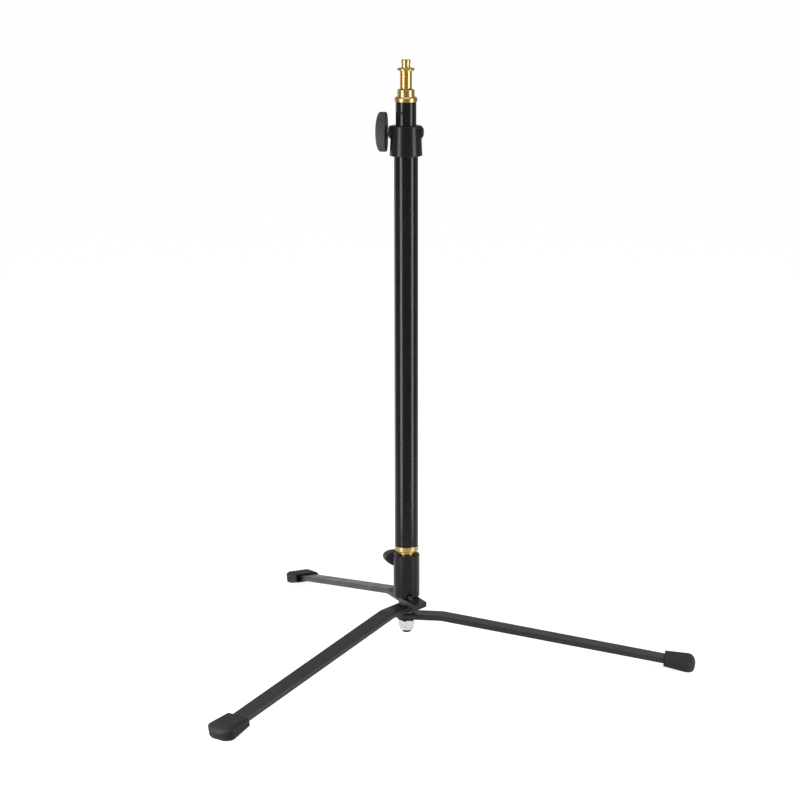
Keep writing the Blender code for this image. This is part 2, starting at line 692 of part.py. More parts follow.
def make_leg(name, azimuth, layer, bend):
    """Make one flat bar with its bolt hole and its end, and the rubber boot on its tip."""
    level = LOWEST_BAR_Z + layer * LEG_PITCH
    slope = leg_slope(level, bend)
    tip = BOOT_REACH - (BOOT_FLAT - BOOT_POCKET + 0.5 * MM) * math.cos(slope)
    upright = leg_frame(azimuth) @ Matrix.Rotation(math.radians(90.0), 4, "X")
    outline = bar_side_outline(level, bend, slope, tip)
    bar = prism("leg_" + name, outline, BAR_WIDTH, SATIN_ENAMEL, upright)
    plan = prism("leg_plan_" + name, bar_plan_outline(name, tip + BAR_WIDTH), 2 * LOWEST_BAR_Z,
                 matrix=leg_frame(azimuth), collection=CUTTERS)
    boolean(bar, as_cutter(plan), "INTERSECT")
    hole = round_cutter("bolt_hole_" + name, BOLT_HOLE_R, level - BAR_THICKNESS,
                        level + BAR_THICKNESS)
    boolean(bar, hole)
    make_boot("boot_" + name, azimuth, level, bend, slope)
    return bar


def boot_section(along):
    """Return the points of a boot's section, a box with eight corners, as (across, up)."""
    side = boot_half_width(along)
    crown = min(BOOT_CROWN, side * 0.8)
    top = boot_rise(along)
    bottom = -boot_depth(along)
    shoulder = top - min(BOOT_SHOULDER, top * 0.6)
    lower = bottom + min(BOOT_SHOULDER, -bottom * 0.6)
    return [(crown, top), (side, shoulder), (side, lower), (crown, bottom),
            (-crown, bottom), (-side, lower), (-side, shoulder), (-crown, top)]


def make_boot(name, azimuth, level, bend, slope):
    """Loft a boot from its inner face to its nose, with a pocket for the bar."""
    reach_z = level - (BOOT_REACH - bend) * math.tan(slope)
    start = Vector((BOOT_REACH - BOOT_FLAT * math.cos(slope), 0.0,
                    reach_z + BOOT_FLAT * math.sin(slope)))
    place = leg_frame(azimuth) @ Matrix.Translation(start) @ Matrix.Rotation(slope, 4, "Y")
    stations = [0.0, BOOT_FLAT]
    stations += [BOOT_FLAT + BOOT_NOSE * share for share in (0.25, 0.48, 0.68, 0.84, 0.94, 0.99)]
    rings = [[(along, across, up) for across, up in boot_section(along)] for along in stations]
    boot = loft(name, rings, BLACK_RUBBER)
    boot.matrix_world = place
    half_width = BAR_WIDTH / 2 + FIT_GAP
    half_height = BAR_THICKNESS / 2 + FIT_GAP
    boolean(boot, box_cutter(name + "_pocket", (-5.0 * MM, -half_width, -half_height),
                             (BOOT_POCKET, half_width, half_height), place))
    floor = leg_frame(azimuth) @ Matrix.Translation((BOOT_REACH, 0.0, 0.0))
    reach = 30.0 * MM
    boolean(boot, box_cutter(name + "_floor", (-reach, -reach, -reach), (reach, reach, 0.0),
                             floor))
    return boot


def make_leg_key():
    """Join to the top leg a small key that stands in the column's notch, so it can't swing."""
    top = LOWEST_BAR_Z + 2 * LEG_PITCH + BAR_THICKNESS / 2
    inner = NOTCH_INNER_R + KEY_CLEARANCE
    wall = COLUMN_R + 0.6 * MM
    foot = COLUMN_R + 4.6 * MM
    height = NOTCH_HEIGHT - KEY_HEADROOM
    sunk = -1.0 * MM
    outline = [(inner, sunk), (foot, sunk), (foot, 0.2 * MM), (wall, height), (inner, height)]
    place = leg_frame(NOTCH_AZIMUTH) @ Matrix.Translation((0.0, 0.0, top))
    place = place @ Matrix.Rotation(math.radians(90.0), 4, "X")
    key = prism("leg_key", outline, NOTCH_WIDTH / 2 - KEY_CLEARANCE, matrix=place,
                collection=CUTTERS)
    boolean(bpy.data.objects["leg_back"], as_cutter(key), "UNION")


def make_fasteners():
    """Make the spacers between the legs, the washer, the pivot bolt and the lock nut."""
    for index, name in enumerate(("spacer_lower", "spacer_upper")):
        bottom = LOWEST_BAR_Z + index * LEG_PITCH + BAR_THICKNESS / 2 + FACE_GAP
        turned(name, ring_profile(SPACER_R, BOLT_HOLE_R, bottom, bottom + SPACER_THICKNESS,
                                  0.3 * MM), NYLON, steps=COARSE)
    washer_top = LOWEST_BAR_Z - BAR_THICKNESS / 2 - FACE_GAP
    washer_bottom = washer_top - BOTTOM_WASHER_THICKNESS
    turned("bottom_washer", ring_profile(BOTTOM_WASHER_R, BOLT_HOLE_R, washer_bottom, washer_top),
           BLACK_STEEL, steps=COARSE)
    nut_top = washer_bottom - FACE_GAP
    make_lock_nut(nut_top)
    head_bottom = COLUMN_FLOOR_TOP + FIT_GAP
    head_top = head_bottom + BOLT_HEAD_HEIGHT
    bolt = turned("pivot_bolt", [
        (0.0, head_top),
        (BOLT_HEAD_R - 0.6 * MM, head_top),
        (BOLT_HEAD_R, head_top - 0.6 * MM),
        (BOLT_HEAD_R, head_bottom),
        (BOLT_R, head_bottom),
        (BOLT_R, BOLT_END + 1.0 * MM),
        (BOLT_R - 1.0 * MM, BOLT_END),
        (0.0, BOLT_END),
    ], BLACK_STEEL, steps=COARSE)
    socket = turned("bolt_socket", rod_profile(BOLT_SOCKET_R, head_top - BOLT_SOCKET_DEPTH,
                                               head_top + CUT_PAST), steps=6, collection=CUTTERS)
    boolean(bolt, as_cutter(socket))


def make_lock_nut(top):
    """Make the hexagonal lock nut with its round crown, and the nylon ring held in the crown."""
    corner_r = NUT_FLATS / 2 / math.cos(math.radians(30.0))
    hex_bottom = top - NUT_HEX_HEIGHT
    crown_bottom = hex_bottom - NUT_CROWN_HEIGHT
    place = leg_frame(NUT_CORNER_AZIMUTH)
    nut = turned("lock_nut", rod_profile(corner_r, hex_bottom, top), ZINC_STEEL, place, steps=6)
    nut.modifiers["Turn"].use_smooth_shade = False
    fall = 1.3 * MM
    rim = NUT_FLATS / 2 - 0.2 * MM
    chamfer = turned("nut_chamfer", [
        (0.0, top + 1.0 * MM),
        (rim, top + 1.0 * MM),
        (rim, top),
        (corner_r + 0.3 * MM, top - fall),
        (corner_r + 0.3 * MM, hex_bottom + fall),
        (rim, hex_bottom),
        (rim, hex_bottom - 1.0 * MM),
        (0.0, hex_bottom - 1.0 * MM),
    ], steps=COARSE, collection=CUTTERS)
    boolean(nut, as_cutter(chamfer), "INTERSECT")
    crown_turns = [math.radians(22.5 * index) for index in range(5)]
    crown_round = 1.4 * MM
    crown_arc = [(NUT_CROWN_R - crown_round + crown_round * math.cos(turn),
                  crown_bottom + crown_round - crown_round * math.sin(turn))
                 for turn in crown_turns]
    crown = turned("nut_crown", [(0.0, top - 1.0 * MM), (NUT_CROWN_R, top - 1.0 * MM), *crown_arc,
                                 (0.0, crown_bottom)], steps=COARSE, collection=CUTTERS)
    boolean(nut, as_cutter(crown), "UNION")
    boolean(nut, round_cutter("nut_bore", BOLT_HOLE_R, crown_bottom - 3.0 * MM, top + 3.0 * MM))
    insert_bottom = crown_bottom + 0.9 * MM
    insert_top = insert_bottom + 1.7 * MM
    insert_r = BOLT_HOLE_R + 0.6 * MM
    boolean(nut, round_cutter("nut_insert_seat", insert_r + FACE_GAP, insert_bottom - FACE_GAP,
                              insert_top + FACE_GAP))
    turned("nut_insert", ring_profile(insert_r, BOLT_R + FACE_GAP, insert_bottom, insert_top),
           NYLON, steps=COARSE)


def centre_stand():
    """Move the stand and its cutters from the pole's axis to the middle of the stand's box."""
    bpy.context.view_layer.update()
    shift = Matrix.Translation((POLE_X, POLE_Y, 0.0))
    for obj in bpy.data.objects:
        if obj.parent is None:
            obj.matrix_world = shift @ obj.matrix_world
    bpy.context.view_layer.update()


def main():
    """Build the stand from the stud down to the nut."""
    make_top_stud()
    make_rivet("stud_rivet", STUD_RIVET_AZIMUTH, STUD_RIVET_Z, INNER_TUBE_R)
    make_inner_tube()
    make_collar()
    make_pole_spigot()
    make_rivet("spigot_rivet", SPIGOT_RIVET_AZIMUTH, SPIGOT_RIVET_Z, OUTER_TUBE_R)
    make_outer_tube()
    make_clamp("height", HEIGHT_CLAMP_AZIMUTH, COLLAR_BOSS_Z, INNER_TUBE_R, HEIGHT_KNOB_START, 0.0)
    make_base_column()
    make_clamp("base", BASE_CLAMP_AZIMUTH, BASE_CLAMP_Z, SPIGOT_R, BASE_KNOB_START,
               BASE_KNOB_TURN)
    for name, azimuth, layer, bend in LEGS:
        make_leg(name, azimuth, layer, bend)
    make_leg_key()
    make_fasteners()
    centre_stand()


main()
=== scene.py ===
"""Mini light stand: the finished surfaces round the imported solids, and a plain studio for them.

Lengths are in metres, +Z is up and the floor is z = 0. Every piece is worked out about the axis of
the pole, which is also the axis of the bolt that the legs swing on, and is then moved to where the
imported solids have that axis. Azimuths are in degrees from +X towards +Y.
"""

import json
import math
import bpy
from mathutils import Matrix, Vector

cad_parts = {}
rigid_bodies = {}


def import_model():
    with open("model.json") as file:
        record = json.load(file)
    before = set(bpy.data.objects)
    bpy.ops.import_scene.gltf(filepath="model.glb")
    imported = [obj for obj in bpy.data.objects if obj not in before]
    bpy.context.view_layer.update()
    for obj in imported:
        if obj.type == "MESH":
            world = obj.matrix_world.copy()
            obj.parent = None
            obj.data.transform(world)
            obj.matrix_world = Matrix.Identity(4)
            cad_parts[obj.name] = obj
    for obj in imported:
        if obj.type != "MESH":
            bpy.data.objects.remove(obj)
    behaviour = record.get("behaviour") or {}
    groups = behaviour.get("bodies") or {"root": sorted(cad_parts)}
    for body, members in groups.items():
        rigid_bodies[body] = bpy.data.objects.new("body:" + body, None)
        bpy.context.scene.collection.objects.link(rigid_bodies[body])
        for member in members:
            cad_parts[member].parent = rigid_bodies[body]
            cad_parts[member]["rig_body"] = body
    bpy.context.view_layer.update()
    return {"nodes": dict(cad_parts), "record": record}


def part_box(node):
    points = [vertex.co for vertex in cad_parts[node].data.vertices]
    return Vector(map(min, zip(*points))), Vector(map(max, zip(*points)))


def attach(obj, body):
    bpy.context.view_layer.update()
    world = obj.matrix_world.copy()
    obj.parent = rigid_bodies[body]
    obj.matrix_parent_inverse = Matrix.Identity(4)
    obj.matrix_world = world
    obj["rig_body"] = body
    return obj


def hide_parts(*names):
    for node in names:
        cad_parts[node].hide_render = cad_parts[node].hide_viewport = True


bl_info = {
    "name": "Mini Light Stand",
    "version": (1, 0, 0),
    "blender": (4, 5, 0),
    "location": "3D View > Sidebar > Light Stand",
    "description": "Builds a low light stand with a two-section pole and three flat folding legs",
    "category": "Add Mesh",
}

import bmesh
import bpy
import numpy as np
from bpy.props import FloatProperty, FloatVectorProperty, PointerProperty
from mathutils import Matrix, Vector

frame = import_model()

MM = 0.001
IN = 25.4 * MM
SLOTS = {part["node"]: part["material_slot"] for part in frame["record"]["subparts"]}


def node_middle(node):
    """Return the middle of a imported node's box."""
    low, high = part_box(node)
    return (low + high) / 2


def node_heights(node):
    """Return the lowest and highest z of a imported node."""
    low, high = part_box(node)
    return low.z, high.z


AXIS_X, AXIS_Y = node_middle("guide_ring").xy
TUBE_BOTTOM, TUBE_TOP = node_heights("outer_tube")
RISER_TOP = node_heights("inner_tube")[1]
COLLAR_BOTTOM, COLLAR_TOP = node_heights("collar")
COLUMN_BOTTOM, COLUMN_TOP = node_heights("base_column")
STUD_PLUG_BOTTOM, STUD_TIP = node_heights("top_stud")
SPIGOT_BOTTOM, SPIGOT_TOP = node_heights("pole_spigot")
BOLT_END, BOLT_HEAD_TOP = node_heights("pivot_bolt")
NUT_BOTTOM, NUT_TOP = node_heights("lock_nut")
SCREW_Z = node_middle("height_screw").z
BASE_SCREW_Z = node_middle("base_screw").z

# Clearances, walls and the small parts that two pieces share
FIT_GAP = 0.1 * MM
TUBE_WALL = 1.1 * MM
RISER_WALL = 1.2 * MM
TUBE_RIM_EDGE = 0.25 * MM
GUIDE_RING_R = 10.7 * MM
GUIDE_RING_SEAT = 2.0 * MM
SCREW_R = 3.8 * MM
SCREW_PITCH = 1.25 * MM
BOSS_R = 5.9 * MM
BOLT_HEAD_HEIGHT = 5.6 * MM
BOLT_HEAD_R = 7.5 * MM
SPACER_R = 7.7 * MM
WASHER_R = 8.6 * MM
# Where each knob's base and each screw's two ends stand, out from the pole's axis
HEIGHT_KNOB_START = 17.6 * MM
HEIGHT_SCREW_ENDS = (11.6 * MM, 25.3 * MM)
BASE_KNOB_START = 14.2 * MM
BASE_SCREW_ENDS = (10.0 * MM, 21.9 * MM)
# Azimuths, and the turn of the lower knob in its clamp
HEIGHT_CLAMP_AZIMUTH = 170.0
BASE_CLAMP_AZIMUTH = 107.0
BASE_KNOB_ROLL = -73.0
STUD_RIVET_AZIMUTH = -106.0
SPIGOT_RIVET_AZIMUTH = -112.0
NUT_CORNER_AZIMUTH = -107.0
NOTCH_AZIMUTH = -76.5
# Legs: the bars' levels, their bend, and how far out the boots' widest section stands
LAYER_PITCH = 8.4 * MM
LOWEST_BAR_Z = 41.6 * MM
BEND_RADIUS = 9.0 * MM
BOOT_REACH = 268.9 * MM
BOOT_FLAT = 22.1 * MM
BOOT_NOSE = 7.7 * MM
BOOT_MOUTH_HEIGHT = 9.2 * MM
BOOT_FLAT_SPOT = 0.76 * MM
BOOT_POCKET = 20.0 * MM
MOUTH_HALF_HEIGHT = 3.4 * MM
MOUTH_HALF_WIDTH = 11.6 * MM
MOUTH_DEPTH = 5.0 * MM
BOOT_CROWN = 10.2 * MM
BOOT_SHOULDER = 1.8 * MM
# name, azimuth, layer counted up from the nut, radius at which the bar bends
LEGS = (
    ("right", -8.4, 0, 34.5 * MM),
    ("front", 233.2, 1, 30.5 * MM),
    ("back", 115.3, 2, 28.0 * MM),
)


def srgb(code):
    """Return the linear colour of an sRGB hex code."""
    values = np.array([int(code[index:index + 2], 16) / 255.0 for index in (1, 3, 5)])
    linear = np.where(values <= 0.04045, values / 12.92, ((values + 0.055) / 1.055) ** 2.4)
    return tuple(float(value) for value in linear)


def length(name, description, default):
    """Return a property for a length in metres."""
    return FloatProperty(name=name, description=description, default=default, min=0.0005,
                         precision=5, subtype="DISTANCE", unit="LENGTH")


def colour(name, description, code):
    """Return a property for a colour that starts from an sRGB hex code."""
    return FloatVectorProperty(name=name, description=description, default=srgb(code), size=3,
                               min=0.0, max=1.0, subtype="COLOR")


class StandSizes(bpy.types.PropertyGroup):
    """Sizes that a maker of the stand would choose."""
    outer_tube: length("Outer tube", "Diameter of the lower tube, 7/8 inch", 7 / 8 * IN)
    inner_tube: length("Inner tube", "Diameter of the sliding tube, 3/4 inch", 3 / 4 * IN)
    stud: length("Stud", "Diameter of the top stud and of the spigot, 5/8 inch", 5 / 8 * IN)
    collar_top: length("Collar top", "Diameter of the collar at its top", 27.8 * MM)
    collar_foot: length("Collar foot", "Diameter of the collar at its foot", 30.2 * MM)
    column: length("Column", "Diameter of the socket column", 24.9 * MM)
    knob_length: length("Knob length", "Longer side of the oval knobs", 36.6 * MM)
    knob_width: length("Knob width", "Shorter side of the oval knobs", 16.0 * MM)
    knob_depth: length("Knob depth", "Depth of the oval knobs", 10.0 * MM)
    bar_width: length("Bar width", "Width of the flat leg bars", 16.8 * MM)
    bar_thickness: length("Bar thickness", "Thickness of the flat leg bars", 5.0 * MM)
    boot_mouth: length("Boot mouth", "Width of a boot at its inner face", 26.6 * MM)
    boot_width: length("Boot width", "Width of a boot at its widest section", 28.4 * MM)
    boot_height: length("Boot height", "Height of a boot at its widest section", 12.6 * MM)
    nut_flats: length("Nut flats", "Lock nut across its flats, 9/16 inch", 9 / 16 * IN)
    bolt: length("Bolt", "Diameter of the pivot bolt, 3/8 inch", 3 / 8 * IN)


class StandColours(bpy.types.PropertyGroup):
    """Colours of the stand's finishes."""
    enamel: colour("Enamel", "Stoved enamel of the tubes and the leg bars", "#0b0b0d")
    casting: colour("Casting", "Satin coating of the collar and column", "#0f0f10")
    plastic: colour("Plastic", "Moulded plastic of the knobs", "#1c1c1f")
    rubber: colour("Rubber", "Rubber of the boots", "#171516")
    nylon: colour("Nylon", "Nylon of the spacers and bushes", "#1c1c1e")
    brass: colour("Brass", "Turned brass of the stud and spigot", "#ab8f5b")
    zinc: colour("Zinc plate", "Bright zinc of the screws and nut", "#cdd1d4")
    oxide: colour("Black oxide", "Black oxide of the bolt and washer", "#1a1a1c")


def sizes():
    """Return the stand's sizes."""
    return bpy.context.scene.stand_sizes


def colours():
    """Return the stand's colours."""
    return bpy.context.scene.stand_colours


def bolt_hole():
    """Return the radius of a hole that the pivot bolt passes through."""
    return sizes().bolt / 2 + FIT_GAP


# Placing


def shifted(x, y, z):
    """Return the matrix of a shift."""
    matrix = np.eye(4)
    matrix[:3, 3] = (x, y, z)
    return matrix


def turned_about(axis, angle):
    """Return the matrix of a turn in degrees about the axis 0, 1 or 2."""
    first, second = (axis + 1) % 3, (axis + 2) % 3
    matrix = np.eye(4)
    cosine, sine = math.cos(math.radians(angle)), math.sin(math.radians(angle))
    matrix[first, first] = matrix[second, second] = cosine
    matrix[second, first] = sine
    matrix[first, second] = -sine
    return matrix


def outward_frame(azimuth, height, roll=0.0):
    """Return the matrix that puts local +Z level and outward from the pole, and local +Y up."""
    angle = math.radians(azimuth)
    out = np.array([math.cos(angle), math.sin(angle), 0.0])
    up = np.array([0.0, 0.0, 1.0])
    matrix = np.eye(4)
    matrix[:3, 0], matrix[:3, 1], matrix[:3, 2] = np.cross(up, out), up, out
    matrix[2, 3] = height
    return matrix @ turned_about(2, roll)


# Surfaces


def rounded(points, radii, steps=5):
    """Return a profile whose corners are arcs of the given radii, which shrink to fit their sides.

    A corner becomes the rational quadratic curve from a point on its incoming side to one on its
    outgoing side. Its middle weight is the cosine of half the turn, which makes it a true arc.
    The points may be one profile, or an array of profiles whose last two axes are corner and x, y.
    """
    corner = np.asarray(points, float)
    radii = np.broadcast_to(np.asarray(radii, float), corner.shape[:-1])
    back = np.roll(corner, 1, -2) - corner
    ahead = np.roll(corner, -1, -2) - corner
    back_run = np.maximum(np.linalg.norm(back, axis=-1), 1e-9)
    ahead_run = np.maximum(np.linalg.norm(ahead, axis=-1), 1e-9)
    back = back / back_run[..., None]
    ahead = ahead / ahead_run[..., None]
    half_turn = np.arccos(np.clip(-(back * ahead).sum(-1), -1.0, 1.0)) / 2
    reach = np.minimum(radii * np.tan(half_turn), 0.49 * np.minimum(back_run, ahead_run))
    reach = np.where(radii > 0.0, reach, 0.0)[..., None, None]
    share = np.linspace(0.0, 1.0, steps)[:, None]
    first, last = (1 - share) ** 2, share ** 2
    middle = 2 * share * (1 - share) * np.cos(half_turn)[..., None, None]
    corner, back, ahead = corner[..., None, :], back[..., None, :], ahead[..., None, :]
    start, end = corner + back * reach, corner + ahead * reach
    curve = (first * start + middle * corner + last * end) / (first + middle + last)
    return curve.reshape(*curve.shape[:-3], -1, 2)


def around(steps):
    """Return the angles of the steps of a full turn."""
    return np.arange(steps) * (2 * math.pi / steps)


def round_grid(radius, angle, height):
    """Return the points (r cos a, r sin a, z) of arrays of radii, angles and heights."""
    return np.stack(np.broadcast_arrays(radius * np.cos(angle), radius * np.sin(angle), height), -1)


def turned_grid(corners, steps=128):
    """Turn an outline about Z. Its corners are (radius, height, radius of the corner's arc)."""
    corners = np.array(corners, float)
    profile = rounded(corners[:, :2], corners[:, 2])
    return round_grid(profile[:, :1], around(steps)[None, :], profile[:, 1:])


def moved(grid, place):
    """Return a grid's points after a 4 by 4 matrix."""
    return grid @ place[:3, :3].T + place[:3, 3]


def skin(name, grid, place=None, ring=False):
    """Join a grid of points, rows by columns, into a closed surface that faces outwards.

    Each row is a closed loop. In a ring the last row joins the first, and otherwise the first and
    last rows are closed, which a row that has shrunk to a pole or a line already is.
    """
    if place is not None:
        grid = moved(grid, place)
    rows, columns = grid.shape[:2]
    row = np.arange(rows if ring else rows - 1)[:, None]
    column = np.arange(columns)[None, :]
    after_row, after_column = (row + 1) % rows, (column + 1) % columns
    quads = np.stack([row * columns + column, row * columns + after_column,
                      after_row * columns + after_column, after_row * columns + column], -1)
    faces = quads.reshape(-1, 4).tolist()
    if not ring:
        faces += [list(range(columns))[::-1], list(range((rows - 1) * columns, rows * columns))]
    mesh = bpy.data.meshes.new(name)
    mesh.from_pydata(grid.reshape(-1, 3).tolist(), [], faces)
    solid = bmesh.new()
    solid.from_mesh(mesh)
    bmesh.ops.remove_doubles(solid, verts=solid.verts, dist=2e-6)
    bmesh.ops.dissolve_degenerate(solid, edges=solid.edges, dist=1e-6)
    bmesh.ops.recalc_face_normals(solid, faces=solid.faces)
    solid.to_mesh(mesh)
    solid.free()
    obj = bpy.data.objects.new(name, mesh)
    bpy.context.scene.collection.objects.link(obj)
    return obj


def combine(obj, other, operation):
    """Join a surface with another, or cut or limit it by the other, which is then removed."""
    modifier = obj.modifiers.new(operation, "BOOLEAN")
    modifier.operation = operation
    modifier.solver = "EXACT"
    modifier.object = other
    bpy.context.view_layer.update()
    evaluated = obj.evaluated_get(bpy.context.evaluated_depsgraph_get())
    mesh = bpy.data.meshes.new_from_object(evaluated)
    obj.modifiers.clear()
    obj.data = mesh
    bpy.data.objects.remove(other, do_unlink=True)
    return obj


def finish_piece(obj, node, sharp_angle=32.0):
    """Move a piece from the pole's axis to its place, shade it, and let it stand for a node."""
    obj.data.transform(Matrix.Translation((AXIS_X, AXIS_Y, 0.0)))
    obj.data.polygons.foreach_set("use_smooth", [True] * len(obj.data.polygons))
    obj.data.set_sharp_from_angle(angle=math.radians(sharp_angle))
    weighted = obj.modifiers.new("Even shading", "WEIGHTED_NORMAL")
    weighted.keep_sharp = True
    obj.data.materials.clear()
    obj.data.materials.append(finish_of(SLOTS[node]))
    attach(obj, frame["nodes"][node]["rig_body"])
    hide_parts(node)
    return obj


def rod(name, radius, bottom, top, place=None, edge=0.0, steps=64):
    """Turn a solid rod with rounded ends."""
    corners = [(0.0, top, 0.0), (radius, top, edge), (radius, bottom, edge), (0.0, bottom, 0.0)]
    return skin(name, turned_grid(corners, steps), place)


def make_sleeve(name, node, outer, inner, edge, steps=96):
    """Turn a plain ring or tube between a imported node's lowest and highest z."""
    bottom, top = node_heights(node)
    corners = [(outer, top, edge), (outer, bottom, edge), (inner, bottom, edge), (inner, top, edge)]
    finish_piece(skin(name, turned_grid(corners, steps), ring=True), node)


def threaded_grid(radius, bottom, top, pitch, chamfer, steps=48):
    """A rod's radius less a triangle wave that rises once for each pitch of height less turn.

    The radius is also held inside a cone at both ends, and the end rows close on the axis.
    """
    rows = int(round((top - bottom) / pitch * 8)) + 1
    height = np.linspace(bottom, top, rows)[:, None]
    angle = around(steps)[None, :]
    wave = np.abs(2.0 * ((height / pitch - angle / (2 * math.pi)) % 1.0) - 1.0)
    thread = radius - 0.54 * pitch * wave
    cone = radius - chamfer + np.minimum(height - bottom, top - height)
    reach = np.minimum(thread, cone)
    reach = np.vstack([np.zeros((1, steps)), reach, np.zeros((1, steps))])
    return round_grid(reach, angle, np.vstack([[[bottom]], height, [[top]]]))


def box_rings(half_width, half_height, corner, steps=5):
    """Return the loops of a box's section with round corners, for arrays of its half sizes.

    A corner's points are its centre plus the corner's radius in each direction of its quarter.
    """
    quarter = np.arange(4)[:, None]
    angle = (quarter + np.linspace(0.0, 1.0, steps)[None, :]) * (math.pi / 2)
    angle = angle.reshape(-1)
    sign_across = np.repeat([1.0, -1.0, -1.0, 1.0], steps)
    sign_up = np.repeat([1.0, 1.0, -1.0, -1.0], steps)
    half_width, half_height = half_width[:, None], half_height[:, None]
    corner = np.minimum(corner, np.minimum(half_width, half_height))
    across = sign_across * (half_width - corner) + corner * np.cos(angle)
    up = sign_up * (half_height - corner) + corner * np.sin(angle)
    return across, up


def block(name, low, high, corner, place):
    """Make a block between two corners: a section with round corners, carried along local Z."""
    low, high = np.array(low), np.array(high)
    half = (high - low) / 2
    across, up = box_rings(np.full(2, half[0]), np.full(2, half[1]), corner)
    along = np.array([[low[2]], [high[2]]]) + np.zeros_like(across)
    middle = (low + high) / 2
    grid = np.stack([across + middle[0], up + middle[1], along], -1)
    return skin(name, grid, place)


# Finishes

# A wave texture whose scale is 1 has this many bands in a metre
BANDS_PER_METRE = 20.0 / (2.0 * math.pi)


def add_node(tree, kind, inputs=None, **settings):
    """Add a node with its settings, give its inputs values or links, and return its outputs."""
    added = tree.nodes.new(kind)
    for name, value in settings.items():
        setattr(added, name, value)
    for name, value in (inputs or {}).items():
        if isinstance(value, bpy.types.NodeSocket):
            tree.links.new(value, added.inputs[name])
        else:
            added.inputs[name].default_value = value
    return added.outputs


def new_finish(name, **sockets):
    """Return a new material, its tree and its object coordinates, and set its shader's sockets."""
    material = bpy.data.materials.new(name)
    material.use_nodes = True
    tree = material.node_tree
    place = add_node(tree, "ShaderNodeTexCoord")["Object"]
    for socket, value in sockets.items():
        tree.nodes["Principled BSDF"].inputs[socket.replace("_", " ")].default_value = value
    return material, tree, place


def scaled(base, factor):
    """Return a colour times a factor, which is a number or one number for each channel."""
    return tuple(float(value) for value in np.minimum(1.0, np.array(base) * factor))


def dressed(material, shade, roughness, relief):
    """Give a new finish its varied colour, roughness and relief, and return its material.

    The shade is a texture, the two of its values that give the first and the second colour, and
    those colours. The roughness is the same with two numbers. The relief is a texture, its
    strength and its depth.
    """
    tree = material.node_tree
    texture, low, high, first, second = shade
    share = add_node(tree, "ShaderNodeMapRange", {
        "Value": texture, "From Min": low, "From Max": high})["Result"]
    mixed = add_node(tree, "ShaderNodeMix", {0: share, 6: (*first, 1.0), 7: (*second, 1.0)},
                     data_type="RGBA")[2]
    texture, low, high, smooth, rough = roughness
    dullness = add_node(tree, "ShaderNodeMapRange", {
        "Value": texture, "From Min": low, "From Max": high, "To Min": smooth,
        "To Max": rough})["Result"]
    height, strength, depth = relief
    bumped = add_node(tree, "ShaderNodeBump", {
        "Height": height, "Strength": strength, "Distance": depth})["Normal"]
    for socket, source in (("Base Color", mixed), ("Roughness", dullness), ("Normal", bumped)):
        tree.links.new(source, tree.nodes["Principled BSDF"].inputs[socket])
    return material


def gloss_enamel():
    """Stoved gloss enamel on steel: a deep black with orange peel about 2.5 mm across, which makes
    reflections waver, and hazy handling marks that soften them. Its IOR is matched to the dark
    front of the real tubes, below the usual 1.5."""
    base = tuple(colours().enamel)
    material, tree, place = new_finish("stoved_gloss_enamel", IOR=1.28)
    haze = add_node(tree, "ShaderNodeTexNoise", {
        "Vector": place, "Scale": 1.0 / (9.0 * MM), "Detail": 5.0})["Fac"]
    peel = add_node(tree, "ShaderNodeTexNoise", {
        "Vector": place, "Scale": 1.0 / (2.5 * MM), "Detail": 1.0})["Fac"]
    return dressed(material, (haze, 0.4, 0.8, base, scaled(base, 1.6)),
                   (haze, 0.35, 0.7, 0.16, 0.24), (peel, 0.02, 0.1 * MM))


def satin_enamel():
    """Stoved satin enamel on flat steel: a deep black with a fine orange peel, which spreads what
    it reflects into a soft sheen, a little duller in rubbed patches."""
    base = tuple(colours().enamel)
    material, tree, place = new_finish("stoved_satin_enamel", IOR=1.42)
    rubbed = add_node(tree, "ShaderNodeTexNoise", {
        "Vector": place, "Scale": 1.0 / (14.0 * MM), "Detail": 5.0})["Fac"]
    peel = add_node(tree, "ShaderNodeTexNoise", {
        "Vector": place, "Scale": 1.0 / (0.9 * MM), "Detail": 3.0})["Fac"]
    return dressed(material, (peel, 0.4, 0.8, scaled(base, 1.3), scaled(base, 2.2)),
                   (rubbed, 0.35, 0.7, 0.33, 0.42), (peel, 0.06, 0.05 * MM))


def satin_coating():
    """Powder coat on a casting: a dark satin grey with a grain of about 0.5 mm, drawn coarser than
    the real 0.1 mm so that it shows, which spreads highlights into soft bands. Its IOR too is
    matched to the real collar, below the usual 1.5."""
    base = tuple(colours().casting)
    material, tree, place = new_finish("satin_powder_coat", IOR=1.27)
    powder = add_node(tree, "ShaderNodeTexNoise", {
        "Vector": place, "Scale": 1.0 / (0.5 * MM), "Detail": 3.0})["Fac"]
    flow = add_node(tree, "ShaderNodeTexNoise", {
        "Vector": place, "Scale": 1.0 / (6.0 * MM), "Detail": 3.0})["Fac"]
    return dressed(material, (powder, 0.3, 0.7, scaled(base, 0.8), scaled(base, 1.25)),
                   (flow, 0.3, 0.7, 0.25, 0.31), (powder, 0.08, 0.05 * MM))


def moulded_plastic():
    """Glass-filled nylon moulding of the knobs: a dark grey with a spark-eroded texture of about
    0.5 mm, which takes all gloss off the faces and leaves a faint sheen on the edges."""
    base = tuple(colours().plastic)
    material, tree, place = new_finish("moulded_knob_plastic", IOR=1.52)
    pits = add_node(tree, "ShaderNodeTexVoronoi", {
        "Vector": place, "Scale": 1.0 / (0.5 * MM)}, feature="SMOOTH_F1")["Distance"]
    flow = add_node(tree, "ShaderNodeTexNoise", {
        "Vector": place, "Scale": 1.0 / (4.0 * MM), "Detail": 3.0})["Fac"]
    return dressed(material, (pits, 0.0, 0.9, scaled(base, 0.85), scaled(base, 1.2)),
                   (flow, 0.3, 0.7, 0.5, 0.62), (pits, 0.2, 0.06 * MM))


